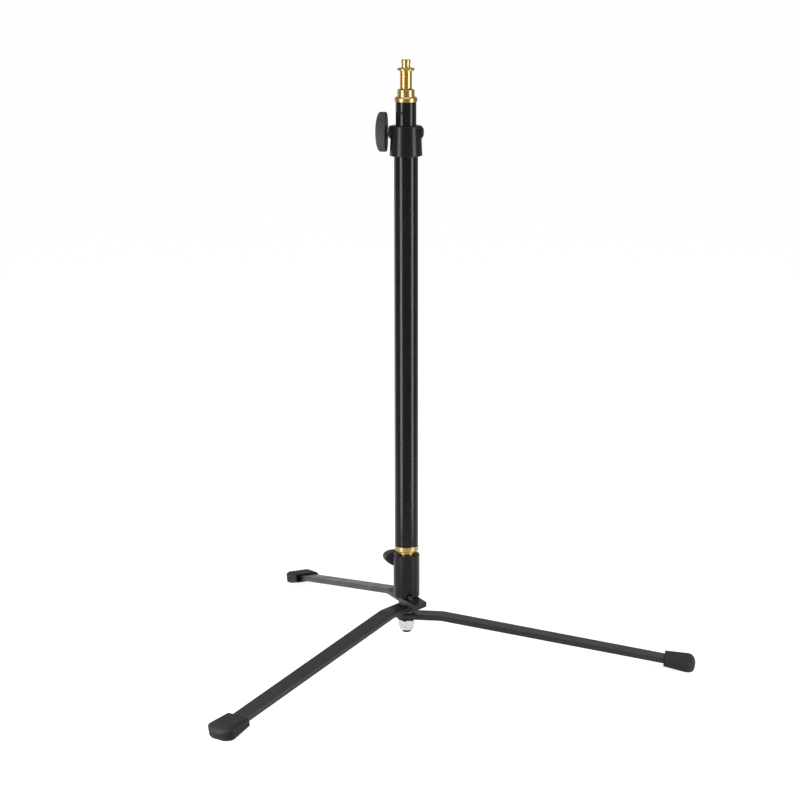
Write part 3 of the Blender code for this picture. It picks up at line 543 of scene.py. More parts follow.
def moulded_rubber():
    """Moulded black rubber: a warm dark grey, dull with a slight bloom, mottled over 5 mm and with
    a fine skin of about 0.6 mm. Its IOR is matched to the real boots' low sheen."""
    base = tuple(colours().rubber)
    material, tree, place = new_finish("moulded_rubber", IOR=1.3)
    skin_grain = add_node(tree, "ShaderNodeTexNoise", {
        "Vector": place, "Scale": 1.0 / (0.6 * MM), "Detail": 4.0, "Roughness": 0.6})["Fac"]
    bloom = add_node(tree, "ShaderNodeTexNoise", {
        "Vector": place, "Scale": 1.0 / (5.0 * MM), "Detail": 4.0})["Fac"]
    return dressed(material, (bloom, 0.35, 0.7, scaled(base, 0.85), scaled(base, 1.3)),
                   (bloom, 0.3, 0.7, 0.5, 0.66), (skin_grain, 0.3, 0.08 * MM))


def turned_nylon():
    """Turned black nylon: an even near-black with a low sheen and faint rings, drawn 0.8 mm apart
    where the real ones are finer."""
    base = tuple(colours().nylon)
    material, tree, place = new_finish("black_nylon", IOR=1.53)
    rings = add_node(tree, "ShaderNodeTexWave", {
        "Vector": place, "Scale": 1.0 / (0.79 * MM * BANDS_PER_METRE), "Distortion": 0.4},
        bands_direction="Z")["Fac"]
    flow = add_node(tree, "ShaderNodeTexNoise", {
        "Vector": place, "Scale": 1.0 / (3.0 * MM), "Detail": 3.0})["Fac"]
    return dressed(material, (flow, 0.0, 1.0, scaled(base, 0.85), scaled(base, 1.2)),
                   (flow, 0.3, 0.7, 0.45, 0.56), (rings, 0.15, 0.03 * MM))


def turned_brass():
    """Turned and polished brass: yellow gold with lathe rings, drawn 1 mm apart where the real
    ones are finer, that blur reflections up and down, and a browner tarnish in patches."""
    base = tuple(colours().brass)
    material, tree, place = new_finish("turned_brass", Metallic=1.0)
    rings = add_node(tree, "ShaderNodeTexWave", {
        "Vector": place, "Scale": 1.0 / (0.99 * MM * BANDS_PER_METRE), "Distortion": 0.3},
        bands_direction="Z")["Fac"]
    tarnish = add_node(tree, "ShaderNodeTexNoise", {
        "Vector": place, "Scale": 1.0 / (7.0 * MM), "Detail": 4.0})["Fac"]
    return dressed(material, (tarnish, 0.42, 0.75, base, scaled(base, (0.832, 0.76, 0.67))),
                   (tarnish, 0.3, 0.75, 0.24, 0.34), (rings, 0.05, 0.02 * MM))


def zinc_plate():
    """Bright zinc plate on steel: a cool silver, slightly clouded over 2 mm, with fine scratches
    that break up its highlights."""
    base = tuple(colours().zinc)
    material, tree, place = new_finish("bright_zinc_plate", Metallic=1.0)
    cloud = add_node(tree, "ShaderNodeTexNoise", {
        "Vector": place, "Scale": 1.0 / (2.0 * MM), "Detail": 4.0})["Fac"]
    narrowed = add_node(tree, "ShaderNodeMapping", {
        "Vector": place, "Scale": (1.0, 1.0, 9.0),
        "Rotation": (0.3, 0.5, 0.0)})["Vector"]
    scratches = add_node(tree, "ShaderNodeTexNoise", {
        "Vector": narrowed, "Scale": 1.0 / (0.8 * MM), "Detail": 4.0})["Fac"]
    return dressed(material, (cloud, 0.3, 0.75, base, scaled(base, 0.72)),
                   (cloud, 0.3, 0.7, 0.2, 0.34), (scratches, 0.06, 0.03 * MM))


def black_oxide():
    """Black oxide on steel: a blue-black with an oily sheen, worn paler in small spots."""
    base = tuple(colours().oxide)
    material, tree, place = new_finish("black_oxide", Metallic=0.85)
    wear = add_node(tree, "ShaderNodeTexNoise", {
        "Vector": place, "Scale": 1.0 / (1.2 * MM), "Detail": 5.0, "Roughness": 0.65})["Fac"]
    return dressed(material, (wear, 0.55, 0.8, base, srgb("#5c5b5a")), (wear, 0.3, 0.7, 0.3, 0.44),
                   (wear, 0.1, 0.04 * MM))


FINISHES = {
    "brass": turned_brass,
    "gloss_black_enamel": gloss_enamel,
    "satin_black_enamel": satin_enamel,
    "satin_black_casting": satin_coating,
    "black_plastic": moulded_plastic,
    "black_rubber": moulded_rubber,
    "black_nylon": turned_nylon,
    "zinc_plated_steel": zinc_plate,
    "black_oxide_steel": black_oxide,
}
made_finishes = {}


def finish_of(slot):
    """Return the finish of one of the record's slots, made at its first use."""
    if slot not in made_finishes:
        made_finishes[slot] = FINISHES[slot]()
    return made_finishes[slot]


# Brass


def make_top_stud():
    """Turn the stud: a waisted tip, a bead, a groove, a shoulder, a bevelled ring and a plug."""
    radius = sizes().stud / 2
    groove = 5.45 * MM
    waist = 3.85 * MM
    ring = 10.4 * MM
    plug = sizes().inner_tube / 2 - RISER_WALL - FIT_GAP
    seat = STUD_TIP - 33.6 * MM
    ring_bottom = RISER_TOP + 0.2 * MM
    bead_top, bead_bottom = STUD_TIP - 7.4 * MM, STUD_TIP - 10.1 * MM
    corners = [
        (0.0, STUD_TIP, 0.0),
        (4.35 * MM, STUD_TIP, 0.35 * MM),
        (4.2 * MM, STUD_TIP - 2.0 * MM, 3.0 * MM),
        (waist, STUD_TIP - 4.2 * MM, 3.0 * MM),
        (waist, bead_top, 0.3 * MM),
        (radius, bead_top, 1.3 * MM),
        (radius, bead_bottom, 1.3 * MM),
        (groove, bead_bottom, 0.4 * MM),
        (groove, STUD_TIP - 26.1 * MM, 0.6 * MM),
        (radius, STUD_TIP - 27.2 * MM, 0.6 * MM),
        (radius, seat, 0.2 * MM),
        (ring - 1.0 * MM, seat, 0.2 * MM),
        (ring, seat - 1.2 * MM, 0.3 * MM),
        (ring, ring_bottom, 0.5 * MM),
        (plug, ring_bottom, 0.1 * MM),
        (plug, STUD_PLUG_BOTTOM, 0.6 * MM),
        (0.0, STUD_PLUG_BOTTOM, 0.0),
    ]
    finish_piece(skin("turned_stud", turned_grid(corners)), "top_stud")


def make_pole_spigot():
    """Turn the spigot: a plug in the outer tube, a ring under the tube, and the long shank."""
    radius = sizes().stud / 2
    plug = sizes().outer_tube / 2 - TUBE_WALL - FIT_GAP
    ring = 11.3 * MM
    ring_top, ring_bottom = TUBE_BOTTOM - 0.2 * MM, TUBE_BOTTOM - 5.1 * MM
    corners = [
        (0.0, SPIGOT_TOP, 0.0),
        (plug, SPIGOT_TOP, 0.8 * MM),
        (plug, ring_top, 0.1 * MM),
        (ring, ring_top, 0.4 * MM),
        (ring, ring_bottom, 0.9 * MM),
        (radius, ring_bottom, 0.3 * MM),
        (radius, SPIGOT_BOTTOM, 1.5 * MM),
        (0.0, SPIGOT_BOTTOM, 0.0),
    ]
    finish_piece(skin("turned_spigot", turned_grid(corners)), "pole_spigot")


def make_tube_rivet(name, node, tube_diameter, azimuth):
    """Turn a small round-headed rivet whose head lies on a tube's wall."""
    seat = tube_diameter / 2 + 0.1 * MM
    head, shank, inner_end = 2.1 * MM, 1.6 * MM, 5.0 * MM
    corners = [
        (0.0, seat + 0.75 * MM, 0.0),
        (head * 0.62, seat + 0.72 * MM, 1.2 * MM),
        (head, seat + 0.25 * MM, 0.3 * MM),
        (head, seat - 0.1 * MM, 0.05 * MM),
        (shank, seat - 0.1 * MM, 0.05 * MM),
        (shank, inner_end, 0.3 * MM),
        (0.0, inner_end, 0.0),
    ]
    place = outward_frame(azimuth, node_middle(node).z)
    finish_piece(skin(name, turned_grid(corners, 48), place), node)


# Collar and column


def make_collar():
    """Turn the tapered collar with its bores, and join the two bosses that cross it."""
    tube = sizes().outer_tube / 2 + FIT_GAP
    riser = sizes().inner_tube / 2 + 2 * FIT_GAP
    step = TUBE_TOP + FIT_GAP
    seat = COLLAR_TOP - GUIDE_RING_SEAT
    corners = [
        (sizes().collar_top / 2, COLLAR_TOP, 0.9 * MM),
        (sizes().collar_foot / 2, COLLAR_BOTTOM, 0.9 * MM),
        (tube, COLLAR_BOTTOM, 0.2 * MM),
        (tube, step, 0.1 * MM),
        (riser, step, 0.1 * MM),
        (riser, seat, 0.1 * MM),
        (GUIDE_RING_R, seat, 0.1 * MM),
        (GUIDE_RING_R, COLLAR_TOP, 0.3 * MM),
    ]
    collar = skin("tapered_collar", turned_grid(corners, 160), ring=True)
    place = outward_frame(HEIGHT_CLAMP_AZIMUTH, SCREW_Z)
    boss_root, screw_face, rivet_face = 12.0 * MM, 15.6 * MM, 15.0 * MM
    for start, end in ((boss_root, screw_face), (-rivet_face, -boss_root)):
        combine(collar, rod("boss", BOSS_R, start, end, place, 0.6 * MM, 96), "UNION")
    combine(collar, rod("screw_bore", SCREW_R + FIT_GAP, 4.0 * MM, 20.0 * MM, place), "DIFFERENCE")
    finish_piece(collar, "collar")


def make_collar_rivet():
    """Turn the flat-domed rivet in the collar's right boss."""
    head, shank = 4.6 * MM, 2.5 * MM
    seat, inner_end = 15.2 * MM, 10.5 * MM
    corners = [
        (0.0, seat + 1.15 * MM, 0.0),
        (head * 0.75, seat + 1.1 * MM, 2.0 * MM),
        (head, seat + 0.5 * MM, 0.5 * MM),
        (head, seat, 0.1 * MM),
        (shank, seat, 0.1 * MM),
        (shank, inner_end, 0.3 * MM),
        (0.0, inner_end, 0.0),
    ]
    place = outward_frame(HEIGHT_CLAMP_AZIMUTH + 180.0, SCREW_Z)
    finish_piece(skin("boss_rivet", turned_grid(corners, 64), place), "collar_rivet")


def make_base_column():
    """Turn the socket column with its bore and bolt hole, join its boss and cut its notch."""
    outer = sizes().column / 2
    bore = sizes().stud / 2 + FIT_GAP
    floor = BOLT_HEAD_TOP - BOLT_HEAD_HEIGHT - FIT_GAP
    corners = [
        (outer - 1.3 * MM, COLUMN_TOP, 0.2 * MM),
        (outer, COLUMN_TOP - 1.1 * MM, 0.3 * MM),
        (outer, COLUMN_BOTTOM, 0.5 * MM),
        (bolt_hole(), COLUMN_BOTTOM, 0.1 * MM),
        (bolt_hole(), floor, 0.1 * MM),
        (bore, floor, 0.3 * MM),
        (bore, COLUMN_TOP - 0.8 * MM, 0.2 * MM),
        (bore + 0.8 * MM, COLUMN_TOP, 0.2 * MM),
    ]
    column = skin("socket_column", turned_grid(corners, 160), ring=True)
    place = outward_frame(BASE_CLAMP_AZIMUTH, BASE_SCREW_Z)
    boss_root, boss_face = 10.5 * MM, 13.4 * MM
    combine(column, rod("boss", BOSS_R, boss_root, boss_face, place, 0.4 * MM, 96), "UNION")
    combine(column, rod("screw_bore", SCREW_R + FIT_GAP, 4.0 * MM, 18.0 * MM, place), "DIFFERENCE")
    notch = block("notch", (-2.2 * MM, -4.0 * MM, 9.4 * MM), (2.2 * MM, 4.0 * MM, 18.0 * MM),
                  0.5 * MM, outward_frame(NOTCH_AZIMUTH, COLUMN_BOTTOM))
    combine(column, notch, "DIFFERENCE")
    finish_piece(column, "base_column")


# Clamps


def knob_grid():
    """The oval knob: loops of an ellipse whose half sizes are the knob's less an inset.

    The inset and the height follow the profile: flat base, round base edge, straight rim, round
    face edge and face. The face and its edge fall by the cube of the distance from the middle.
    """
    half_width, half_length = sizes().knob_width / 2, sizes().knob_length / 2
    depth = sizes().knob_depth
    base_edge, face_edge, dome = 1.8 * MM, 1.3 * MM, 2.6 * MM
    profile = rounded([
        (half_width, 0.0), (0.0, 0.0), (0.0, depth), (half_width, depth),
    ], [0.0, base_edge, face_edge, 0.0], 9)
    face_inset = np.linspace(face_edge, half_width, 14)
    face = np.stack([face_inset, np.full(14, depth)], 1)
    on_rim = profile[profile[:, 0] < face_edge + 1e-7]
    on_base = profile[(profile[:, 0] >= face_edge + 1e-7) & (profile[:, 1] < depth / 2)]
    profile = np.vstack([on_base, on_rim, face])
    inset, height = profile[:, :1], profile[:, 1:]
    angle = around(120)[None, :]
    x = (half_width - inset) * np.sin(angle)
    y = (half_length - inset) * np.cos(angle)
    fall = dome * (np.hypot(x, y) / half_length) ** 3
    share = np.clip((height - depth / 2) / (depth / 2 - face_edge), 0.0, 1.0)
    return np.stack([x, y, height - fall * share], -1)


def make_knob(name, node, azimuth, height, start, roll):
    """Make an oval knob with a round hub under it, bored for its screw."""
    place = outward_frame(azimuth, height, roll) @ shifted(0.0, 0.0, start)
    knob = skin(name, knob_grid(), place)
    hub_r, hub_base, bore_end = 5.6 * MM, -0.6 * MM, sizes().knob_depth - 2.2 * MM
    combine(knob, rod("hub", hub_r, hub_base, 5.0 * MM, place, 0.3 * MM, 96), "UNION")
    combine(knob, rod("bore", SCREW_R + FIT_GAP, -5.0 * MM, bore_end, place), "DIFFERENCE")
    finish_piece(knob, node, 40.0)


def make_clamp_screw(name, node, azimuth, height, start, end):
    """Turn a threaded clamp screw."""
    grid = threaded_grid(SCREW_R, start, end, SCREW_PITCH, 0.6 * MM)
    finish_piece(skin(name, grid, outward_frame(azimuth, height)), node, 50.0)


# Legs


def flared(along, mouth, widest, bend, fullness):
    """Half a boot's size: an even flare, and then the curve of its nose.

    The nose's curve is one less the share of the nose passed to the power of bend, all of it to
    the power of one over fullness, so that a high bend keeps the size for longer.
    """
    flare = mouth + (widest - mouth) * np.clip(along / BOOT_FLAT, 0.0, 1.0)
    past = np.clip((along - BOOT_FLAT) / BOOT_NOSE, 0.0, 1.0)
    return flare / 2 * (1.0 - past ** bend) ** (1.0 / fullness)


def boot_depth(along):
    """A boot's depth below its middle plane, which the nose keeps almost to its end."""
    return flared(along, BOOT_MOUTH_HEIGHT, sizes().boot_height, 5.0, 3.0)


def leg_line(layer, bend):
    """Return the level of a bar and the slope in radians at which its boot rests on the floor.

    The slope is the angle of the fall from the bar's level to the boot's lowest line over the run
    from the bend, and is worked out again from itself until it settles.
    """
    level = LOWEST_BAR_Z + layer * LAYER_PITCH
    along = np.linspace(BOOT_FLAT, BOOT_FLAT + BOOT_NOSE, 61)
    slope = 0.0
    for _ in range(12):
        drop = ((along - BOOT_FLAT) * math.sin(slope)
                + boot_depth(along) * math.cos(slope)).max()
        slope = math.atan((level - drop + BOOT_FLAT_SPOT) / (BOOT_REACH - bend))
    return level, slope


def bar_path(level, bend, slope, inner, tip):
    """Return the bar's middle line from its inner end to its tip, as x, z and slope.

    It is level, then an arc of the bend's radius, then straight at the slope.
    """
    arc_start = bend - BEND_RADIUS * math.tan(slope / 2)
    turn = np.linspace(0.0, slope, 7)
    arc_x = arc_start + BEND_RADIUS * np.sin(turn)
    arc_z = level - BEND_RADIUS * (1.0 - np.cos(turn))
    run = np.linspace(0.0, 1.0, 12)[1:]
    far_x = arc_x[-1] + (tip - arc_x[-1]) * run
    far_z = arc_z[-1] - (far_x - arc_x[-1]) * math.tan(slope)
    level_x = inner[inner < arc_start - 0.1 * MM]
    x = np.concatenate([level_x, arc_x, far_x])
    z = np.concatenate([np.full(len(level_x), level), arc_z, far_z])
    tilt = np.concatenate([np.zeros(len(level_x)), turn, np.full(len(run), slope)])
    return x, z, tilt


def edge_inset(along):
    """How far an end's rounded edge draws a section in: a quarter circle of 0.5 mm radius."""
    inset = 0.5 * MM - np.sqrt(np.clip(0.25 - (0.5 - along / MM) ** 2, 0.0, 0.25)) * MM
    return np.where(along < 0.5 * MM, inset, 0.0)


def bar_grid(name, level, bend, slope, tip):
    """The flat bar: its section with round corners, carried along the bar's middle line.

    A swinging bar's half width follows a circle at its round end. The back bar's end is mitred:
    its last sections are sheared, a little more in each, up to the mitre's angle.
    """
    half_width, half_height = sizes().bar_width / 2, sizes().bar_thickness / 2
    corner, level_end = 0.7 * MM, 20.0 * MM
    if name == "back":
        end, mitre, mitre_run = -31.0 * MM, math.radians(27.0), 20.0 * MM
        inner = np.concatenate([[end, end + 0.15 * MM, end + 0.5 * MM],
                                np.linspace(end + 2.0 * MM, level_end, 24)])
    else:
        centre = -2.0 * MM
        round_end = centre - half_width * np.cos(np.linspace(0.0, math.pi / 2, 40))
        inner = np.concatenate([round_end, np.linspace(centre, level_end, 10)[1:]])
    x, z, tilt = bar_path(level, bend, slope, inner, tip)
    width = np.full(len(x), half_width)
    height = np.full(len(x), half_height)
    shear = np.zeros(len(x))
    if name == "back":
        from_end = x - end
        inset = edge_inset(from_end)
        width, height = width - inset, height - inset
        shear = math.tan(mitre) * np.clip(1.0 - from_end / mitre_run, 0.0, 1.0)
    else:
        from_centre = np.clip(centre - x, 0.0, half_width)
        width = np.sqrt(np.maximum(half_width ** 2 - from_centre ** 2, 0.0))
    across, up = box_rings(width, height, corner)
    along = x[:, None] - shear[:, None] * across + up * np.sin(tilt)[:, None]
    return np.stack([along, across, z[:, None] + up * np.cos(tilt)[:, None]], -1)


def make_leg(name, azimuth, layer, bend):
    """Make a bar with its bolt hole, and on the back bar the key that stands in the notch."""
    level, slope = leg_line(layer, bend)
    tip = BOOT_REACH - (BOOT_FLAT - BOOT_POCKET + 0.5 * MM) * math.cos(slope)
    bar = skin("bar_" + name, bar_grid(name, level, bend, slope, tip), turned_about(2, azimuth))
    combine(bar, rod("bolt_hole", bolt_hole(), level - 5.0 * MM, level + 5.0 * MM), "DIFFERENCE")
    if name == "back":
        combine(bar, leg_key(level + sizes().bar_thickness / 2), "UNION")
    finish_piece(bar, "leg_" + name)


def leg_key(top):
    """Make the back bar's key: a rounded outline of (outward, up) carried across its width."""
    outline = rounded([
        (9.8 * MM, -1.0 * MM), (17.0 * MM, -1.0 * MM), (17.0 * MM, 0.2 * MM),
        (13.0 * MM, 3.0 * MM), (9.8 * MM, 3.0 * MM),
    ], [0.0, 0.0, 0.1 * MM, 0.6 * MM, 0.3 * MM])
    across = np.array([-1.7, 1.7])[:, None] * MM
    out, up = outline[None, :, 0], outline[None, :, 1]
    grid = np.stack(np.broadcast_arrays(out, across, up + top), -1)
    return skin("key", grid, turned_about(2, NOTCH_AZIMUTH))


def boot_grid():
    """The boot: sections with eight soft corners, whose sizes follow the flare and the nose.

    Seen from above the nose is round, its top slopes down like a shoe's toe and its bottom stays
    low. The shoulders drop from the crown to the sides, above and below alike.
    """
    nose = BOOT_FLAT + BOOT_NOSE * np.sin(np.linspace(0.0, math.pi / 2, 30))
    along = np.concatenate([[0.0, 0.15 * MM, 0.5 * MM, 1.0 * MM],
                            np.linspace(3.0 * MM, BOOT_FLAT, 14)[:-1], nose])
    inset = edge_inset(along)
    side = flared(along, sizes().boot_mouth, sizes().boot_width, 1.9, 2.14) - inset
    top = flared(along, BOOT_MOUTH_HEIGHT, sizes().boot_height, 1.7, 2.2) - inset
    bottom = inset - boot_depth(along)
    crown = np.minimum(BOOT_CROWN, side * 0.8)
    shoulder = top - np.minimum(BOOT_SHOULDER, top * 0.6)
    lower = bottom + np.minimum(BOOT_SHOULDER, -bottom * 0.6)
    across = np.stack([crown, side, side, crown, -crown, -side, -side, -crown], -1)
    up = np.stack([top, shoulder, lower, bottom, bottom, lower, shoulder, top], -1)
    section = rounded(np.stack([across, up], -1), [0.9 * MM, 1.2 * MM, 1.2 * MM, 0.9 * MM] * 2, 5)
    along = np.broadcast_to(along[:, None], section.shape[:2])
    return np.concatenate([along[..., None], section], -1)


def make_boot(name, azimuth, layer, bend):
    """Make a boot on a bar's tip, hollow at its mouth and flat where it rests on the floor."""
    level, slope = leg_line(layer, bend)
    reach_z = level - (BOOT_REACH - bend) * math.tan(slope)
    start = shifted(BOOT_REACH - BOOT_FLAT * math.cos(slope), 0.0,
                    reach_z + BOOT_FLAT * math.sin(slope))
    place = turned_about(2, azimuth) @ start @ turned_about(1, math.degrees(slope))
    grid = moved(boot_grid(), place)
    grid[..., 2] = np.maximum(grid[..., 2], 0.0)
    boot = skin("boot_on_" + name, grid)
    far = np.array([MOUTH_HALF_HEIGHT, MOUTH_HALF_WIDTH, MOUTH_DEPTH])
    hollow = block("mouth", -far, far, 1.0 * MM, place @ turned_about(1, 90.0))
    combine(boot, hollow, "DIFFERENCE")
    finish_piece(boot, "boot_" + name)


# Fasteners


def nut_grid():
    """The lock nut: at each row of its profile the radius is the smaller of the profile's and the
    hexagon's, which is half the flats over the cosine of the angle from the nearest flat's middle.
    """
    flat = sizes().nut_flats / 2
    corner = flat / math.cos(math.radians(30.0))
    bore = bolt_hole()
    crown = 6.7 * MM
    hex_bottom = NUT_TOP - 6.8 * MM
    fall = 1.3 * MM
    cone = np.linspace(0.0, 1.0, 12)[:, None]
    rim = flat - 0.2 * MM
    top_cone = np.array([[rim, NUT_TOP]]) + cone * np.array([[corner - rim + 0.3 * MM, -fall]])
    bottom_cone = top_cone[::-1] * [1.0, -1.0] + [0.0, NUT_TOP + hex_bottom]
    crown_part = rounded([
        (crown, hex_bottom), (crown, NUT_BOTTOM), (bore, NUT_BOTTOM), (bore, NUT_TOP),
    ], [0.1 * MM, 1.5 * MM, 0.3 * MM, 0.2 * MM], 8)
    profile = np.vstack([top_cone, bottom_cone, crown_part])
    angle = around(240)[None, :]
    hexagon = flat / np.cos((angle + math.pi / 6) % (math.pi / 3) - math.pi / 6)
    hexagon = np.minimum(hexagon, corner - 0.12 * MM)
    reach = np.minimum(profile[:, :1], hexagon)
    return round_grid(reach, angle, profile[:, 1:])


def make_lock_nut():
    """Make the hexagonal lock nut with its round crown."""
    place = turned_about(2, NUT_CORNER_AZIMUTH - 30.0)
    finish_piece(skin("crowned_lock_nut", nut_grid(), place, ring=True), "lock_nut")


def make_pivot_bolt():
    """Make the pivot bolt: a threaded shank with 16 threads to the inch under a socket head."""
    head_bottom = BOLT_HEAD_TOP - BOLT_HEAD_HEIGHT
    shank = threaded_grid(sizes().bolt / 2, BOLT_END, head_bottom + 1.0 * MM, IN / 16, 1.0 * MM)
    bolt = skin("threaded_pivot", shank)
    combine(bolt, rod("head", BOLT_HEAD_R, head_bottom, BOLT_HEAD_TOP, None, 0.6 * MM), "UNION")
    socket_r, socket_depth = 3.6 * MM, 3.2 * MM
    combine(bolt, rod("socket", socket_r, BOLT_HEAD_TOP - socket_depth, BOLT_HEAD_TOP + 3.0 * MM,
                      None, 0.0, 6), "DIFFERENCE")
    finish_piece(bolt, "pivot_bolt", 50.0)


# Studio


def add_lamp(name, azimuth, distance, height, width, tall, radiance, aim):
    """Add a soft box that faces the pole at the aim's height.

    A lamp's power is its radiance times its area times four, as Cycles has it.
    """
    lamp = bpy.data.lights.new(name, "AREA")
    lamp.shape = "RECTANGLE"
    lamp.size, lamp.size_y = width, tall
    lamp.energy = radiance * width * tall * 4.0
    obj = bpy.data.objects.new(name, lamp)
    angle = math.radians(azimuth)
    away = Vector((math.cos(angle), math.sin(angle), 0.0)) * distance
    spot = Vector((AXIS_X, AXIS_Y, height)) + away
    facing = Vector((AXIS_X, AXIS_Y, aim)) - spot
    obj.location = spot
    obj.rotation_euler = facing.to_track_quat("-Z", "Y").to_euler()
    bpy.context.scene.collection.objects.link(obj)
    return obj


# What the paper gives of its own where it is seen, near the stand and far from it, and what the
# world gives there to match the far paper
WHITE_GLOW = 0.91
PALE_GLOW = 0.37
PALE_WORLD = 0.46
# The world's light on the stand
WORLD_LIGHT = 0.3
# The white paper widens with the camera's view: its half width at y = 0, how much that grows
# with y, how wide its soft sides are, and the y at which its front starts and is full
WHITE_HALF_WIDTH = 0.42
WHITE_WIDENING = 0.1828
WHITE_SIDE = 0.5
WHITE_FRONT = (-0.6, -0.39)
FLOOR_HALF = 40.0
FLOOR_Z = -0.05 * MM
# name, azimuth, distance, height, width, height of the soft box, radiance, height it faces
LAMPS = (
    ("strip_left", -140.0, 0.5, 0.31, 0.15, 0.62, 10.0, 0.3),
    ("strip_right", -29.0, 0.5, 0.31, 0.15, 0.62, 9.0, 0.3),
    ("rim_left", -222.0, 0.6, 0.31, 0.12, 0.62, 1.6, 0.3),
    ("overhead", -90.0, 0.3, 1.7, 1.2, 1.2, 1.2, 0.2),
)
# The camera's place, its turns down and about its line of sight in radians, its lens in
# millimetres and its shift in widths of the frame, half a pixel each way
CAMERA_PLACE = (AXIS_X - 5.512 * MM, AXIS_Y - 1.96714, 0.681405)
CAMERA_DOWN = 0.2147
CAMERA_ROLL = -0.0019
CAMERA_LENS = 96.21
CAMERA_SHIFT = 0.5 / 800


def seen_white(tree):
    """Return one for what the camera sees, straight, in a reflection or through something clear."""
    ray = add_node(tree, "ShaderNodeLightPath")
    straight_or_glossy = add_node(tree, "ShaderNodeMath", {
        0: ray["Is Camera Ray"], 1: ray["Is Glossy Ray"]}, operation="ADD")[0]
    return add_node(tree, "ShaderNodeMath", {
        0: straight_or_glossy, 1: ray["Is Transmission Ray"]}, operation="ADD",
        use_clamp=True)[0]


def studio_floor():
    """Pale studio paper: a plain grey that takes the stand's shadow, seen as a pale grey, and as
    white round the stand and behind it, with a faint fibre 20 mm across."""
    material, tree, place = new_finish("studio_paper", Roughness=0.9, Specular_IOR_Level=0.0,
                                       Emission_Color=(1.0, 1.0, 1.0, 1.0))
    shader = tree.nodes["Principled BSDF"]
    parts = add_node(tree, "ShaderNodeSeparateXYZ", {"Vector": place})
    from_middle = add_node(tree, "ShaderNodeMath", {0: parts["X"], 1: CAMERA_PLACE[0]},
                           operation="SUBTRACT")[0]
    aside = add_node(tree, "ShaderNodeMath", {0: from_middle}, operation="ABSOLUTE")[0]
    wide = add_node(tree, "ShaderNodeMath", {
        0: parts["Y"], 1: WHITE_WIDENING, 2: WHITE_HALF_WIDTH}, operation="MULTIPLY_ADD")[0]
    beyond = add_node(tree, "ShaderNodeMath", {0: aside, 1: wide}, operation="SUBTRACT")[0]
    sides = add_node(tree, "ShaderNodeMapRange", {
        "Value": beyond, "From Max": WHITE_SIDE, "To Min": 1.0, "To Max": 0.0})["Result"]
    front = add_node(tree, "ShaderNodeMapRange", {
        "Value": parts["Y"], "From Min": WHITE_FRONT[0],
        "From Max": WHITE_FRONT[1]})["Result"]
    white = add_node(tree, "ShaderNodeMath", {0: sides, 1: front}, operation="MULTIPLY")[0]
    lumps = add_node(tree, "ShaderNodeTexNoise", {
        "Vector": place, "Scale": 1.0 / (20.0 * MM), "Detail": 4.0})["Fac"]
    fibre = add_node(tree, "ShaderNodeMapRange", {
        "Value": lumps, "From Min": 0.3, "From Max": 0.7, "To Min": 0.97})["Result"]
    paper = add_node(tree, "ShaderNodeMath", {0: white, 1: fibre}, operation="MULTIPLY")[0]
    near_or_far = add_node(tree, "ShaderNodeMapRange", {
        "Value": paper, "To Min": PALE_GLOW, "To Max": WHITE_GLOW})["Result"]
    glow = add_node(tree, "ShaderNodeMath", {0: near_or_far, 1: seen_white(tree)},
                    operation="MULTIPLY")[0]
    grey = add_node(tree, "ShaderNodeMix", {
        0: fibre, 6: (*srgb("#8e8e8e"), 1.0), 7: (*srgb("#959595"), 1.0)},
        data_type="RGBA")[2]
    tree.links.new(grey, shader.inputs["Base Color"])
    tree.links.new(glow, shader.inputs["Emission Strength"])
    return material


def make_stage():
    """Lay the floor, light the stand softly, and stand the camera where the photograph's was."""
    scene = bpy.context.scene
    scene.view_settings.view_transform = "Standard"
    world = bpy.data.worlds.new("dim_studio")
    scene.world = world
    world.use_nodes = True
    tree = world.node_tree
    background = tree.nodes["Background"]
    background.inputs["Color"].default_value = (1.0, 1.0, 1.0, 1.0)
    strength = add_node(tree, "ShaderNodeMapRange", {
        "Value": seen_white(tree), "To Min": WORLD_LIGHT, "To Max": PALE_WORLD})["Result"]
    tree.links.new(strength, background.inputs["Strength"])
    corners = np.array([(-1, -1, 0), (1, -1, 0), (1, 1, 0), (-1, 1, 0)]) * FLOOR_HALF
    mesh = bpy.data.meshes.new("studio_floor")
    mesh.from_pydata(corners.tolist(), [], [(0, 1, 2, 3)])
    mesh.materials.append(studio_floor())
    floor = bpy.data.objects.new("studio_floor", mesh)
    floor.location.z = FLOOR_Z
    scene.collection.objects.link(floor)
    for lamp in LAMPS:
        add_lamp(*lamp)
    camera = bpy.data.cameras.new("camera")
    camera.sensor_width = 36.0
    camera.lens = CAMERA_LENS
    camera.shift_x, camera.shift_y = -CAMERA_SHIFT, CAMERA_SHIFT
    camera.clip_end = 200.0
    viewer = bpy.data.objects.new("camera", camera)
    viewer.matrix_world = (Matrix.Translation(CAMERA_PLACE)
                           @ Matrix.Rotation(math.radians(90.0) - CAMERA_DOWN, 4, "X")
                           @ Matrix.Rotation(CAMERA_ROLL, 4, "Z"))
    scene.collection.objects.link(viewer)
    scene.camera = viewer


# Operators


class BuildStage(bpy.types.Operator):
    """Lay the floor, set the lamps and stand the camera"""
    bl_idname = "light_stand.stage"
    bl_label = "Stage"

    def execute(self, context):
        make_stage()
        return {"FINISHED"}


class BuildStud(bpy.types.Operator):
    """Turn the brass stud and the rivet that holds it"""
    bl_idname = "light_stand.stud"
    bl_label = "Top stud"

    def execute(self, context):
        make_top_stud()
        make_tube_rivet("stud_rivet_head", "stud_rivet", sizes().inner_tube,
                        STUD_RIVET_AZIMUTH)
        return {"FINISHED"}


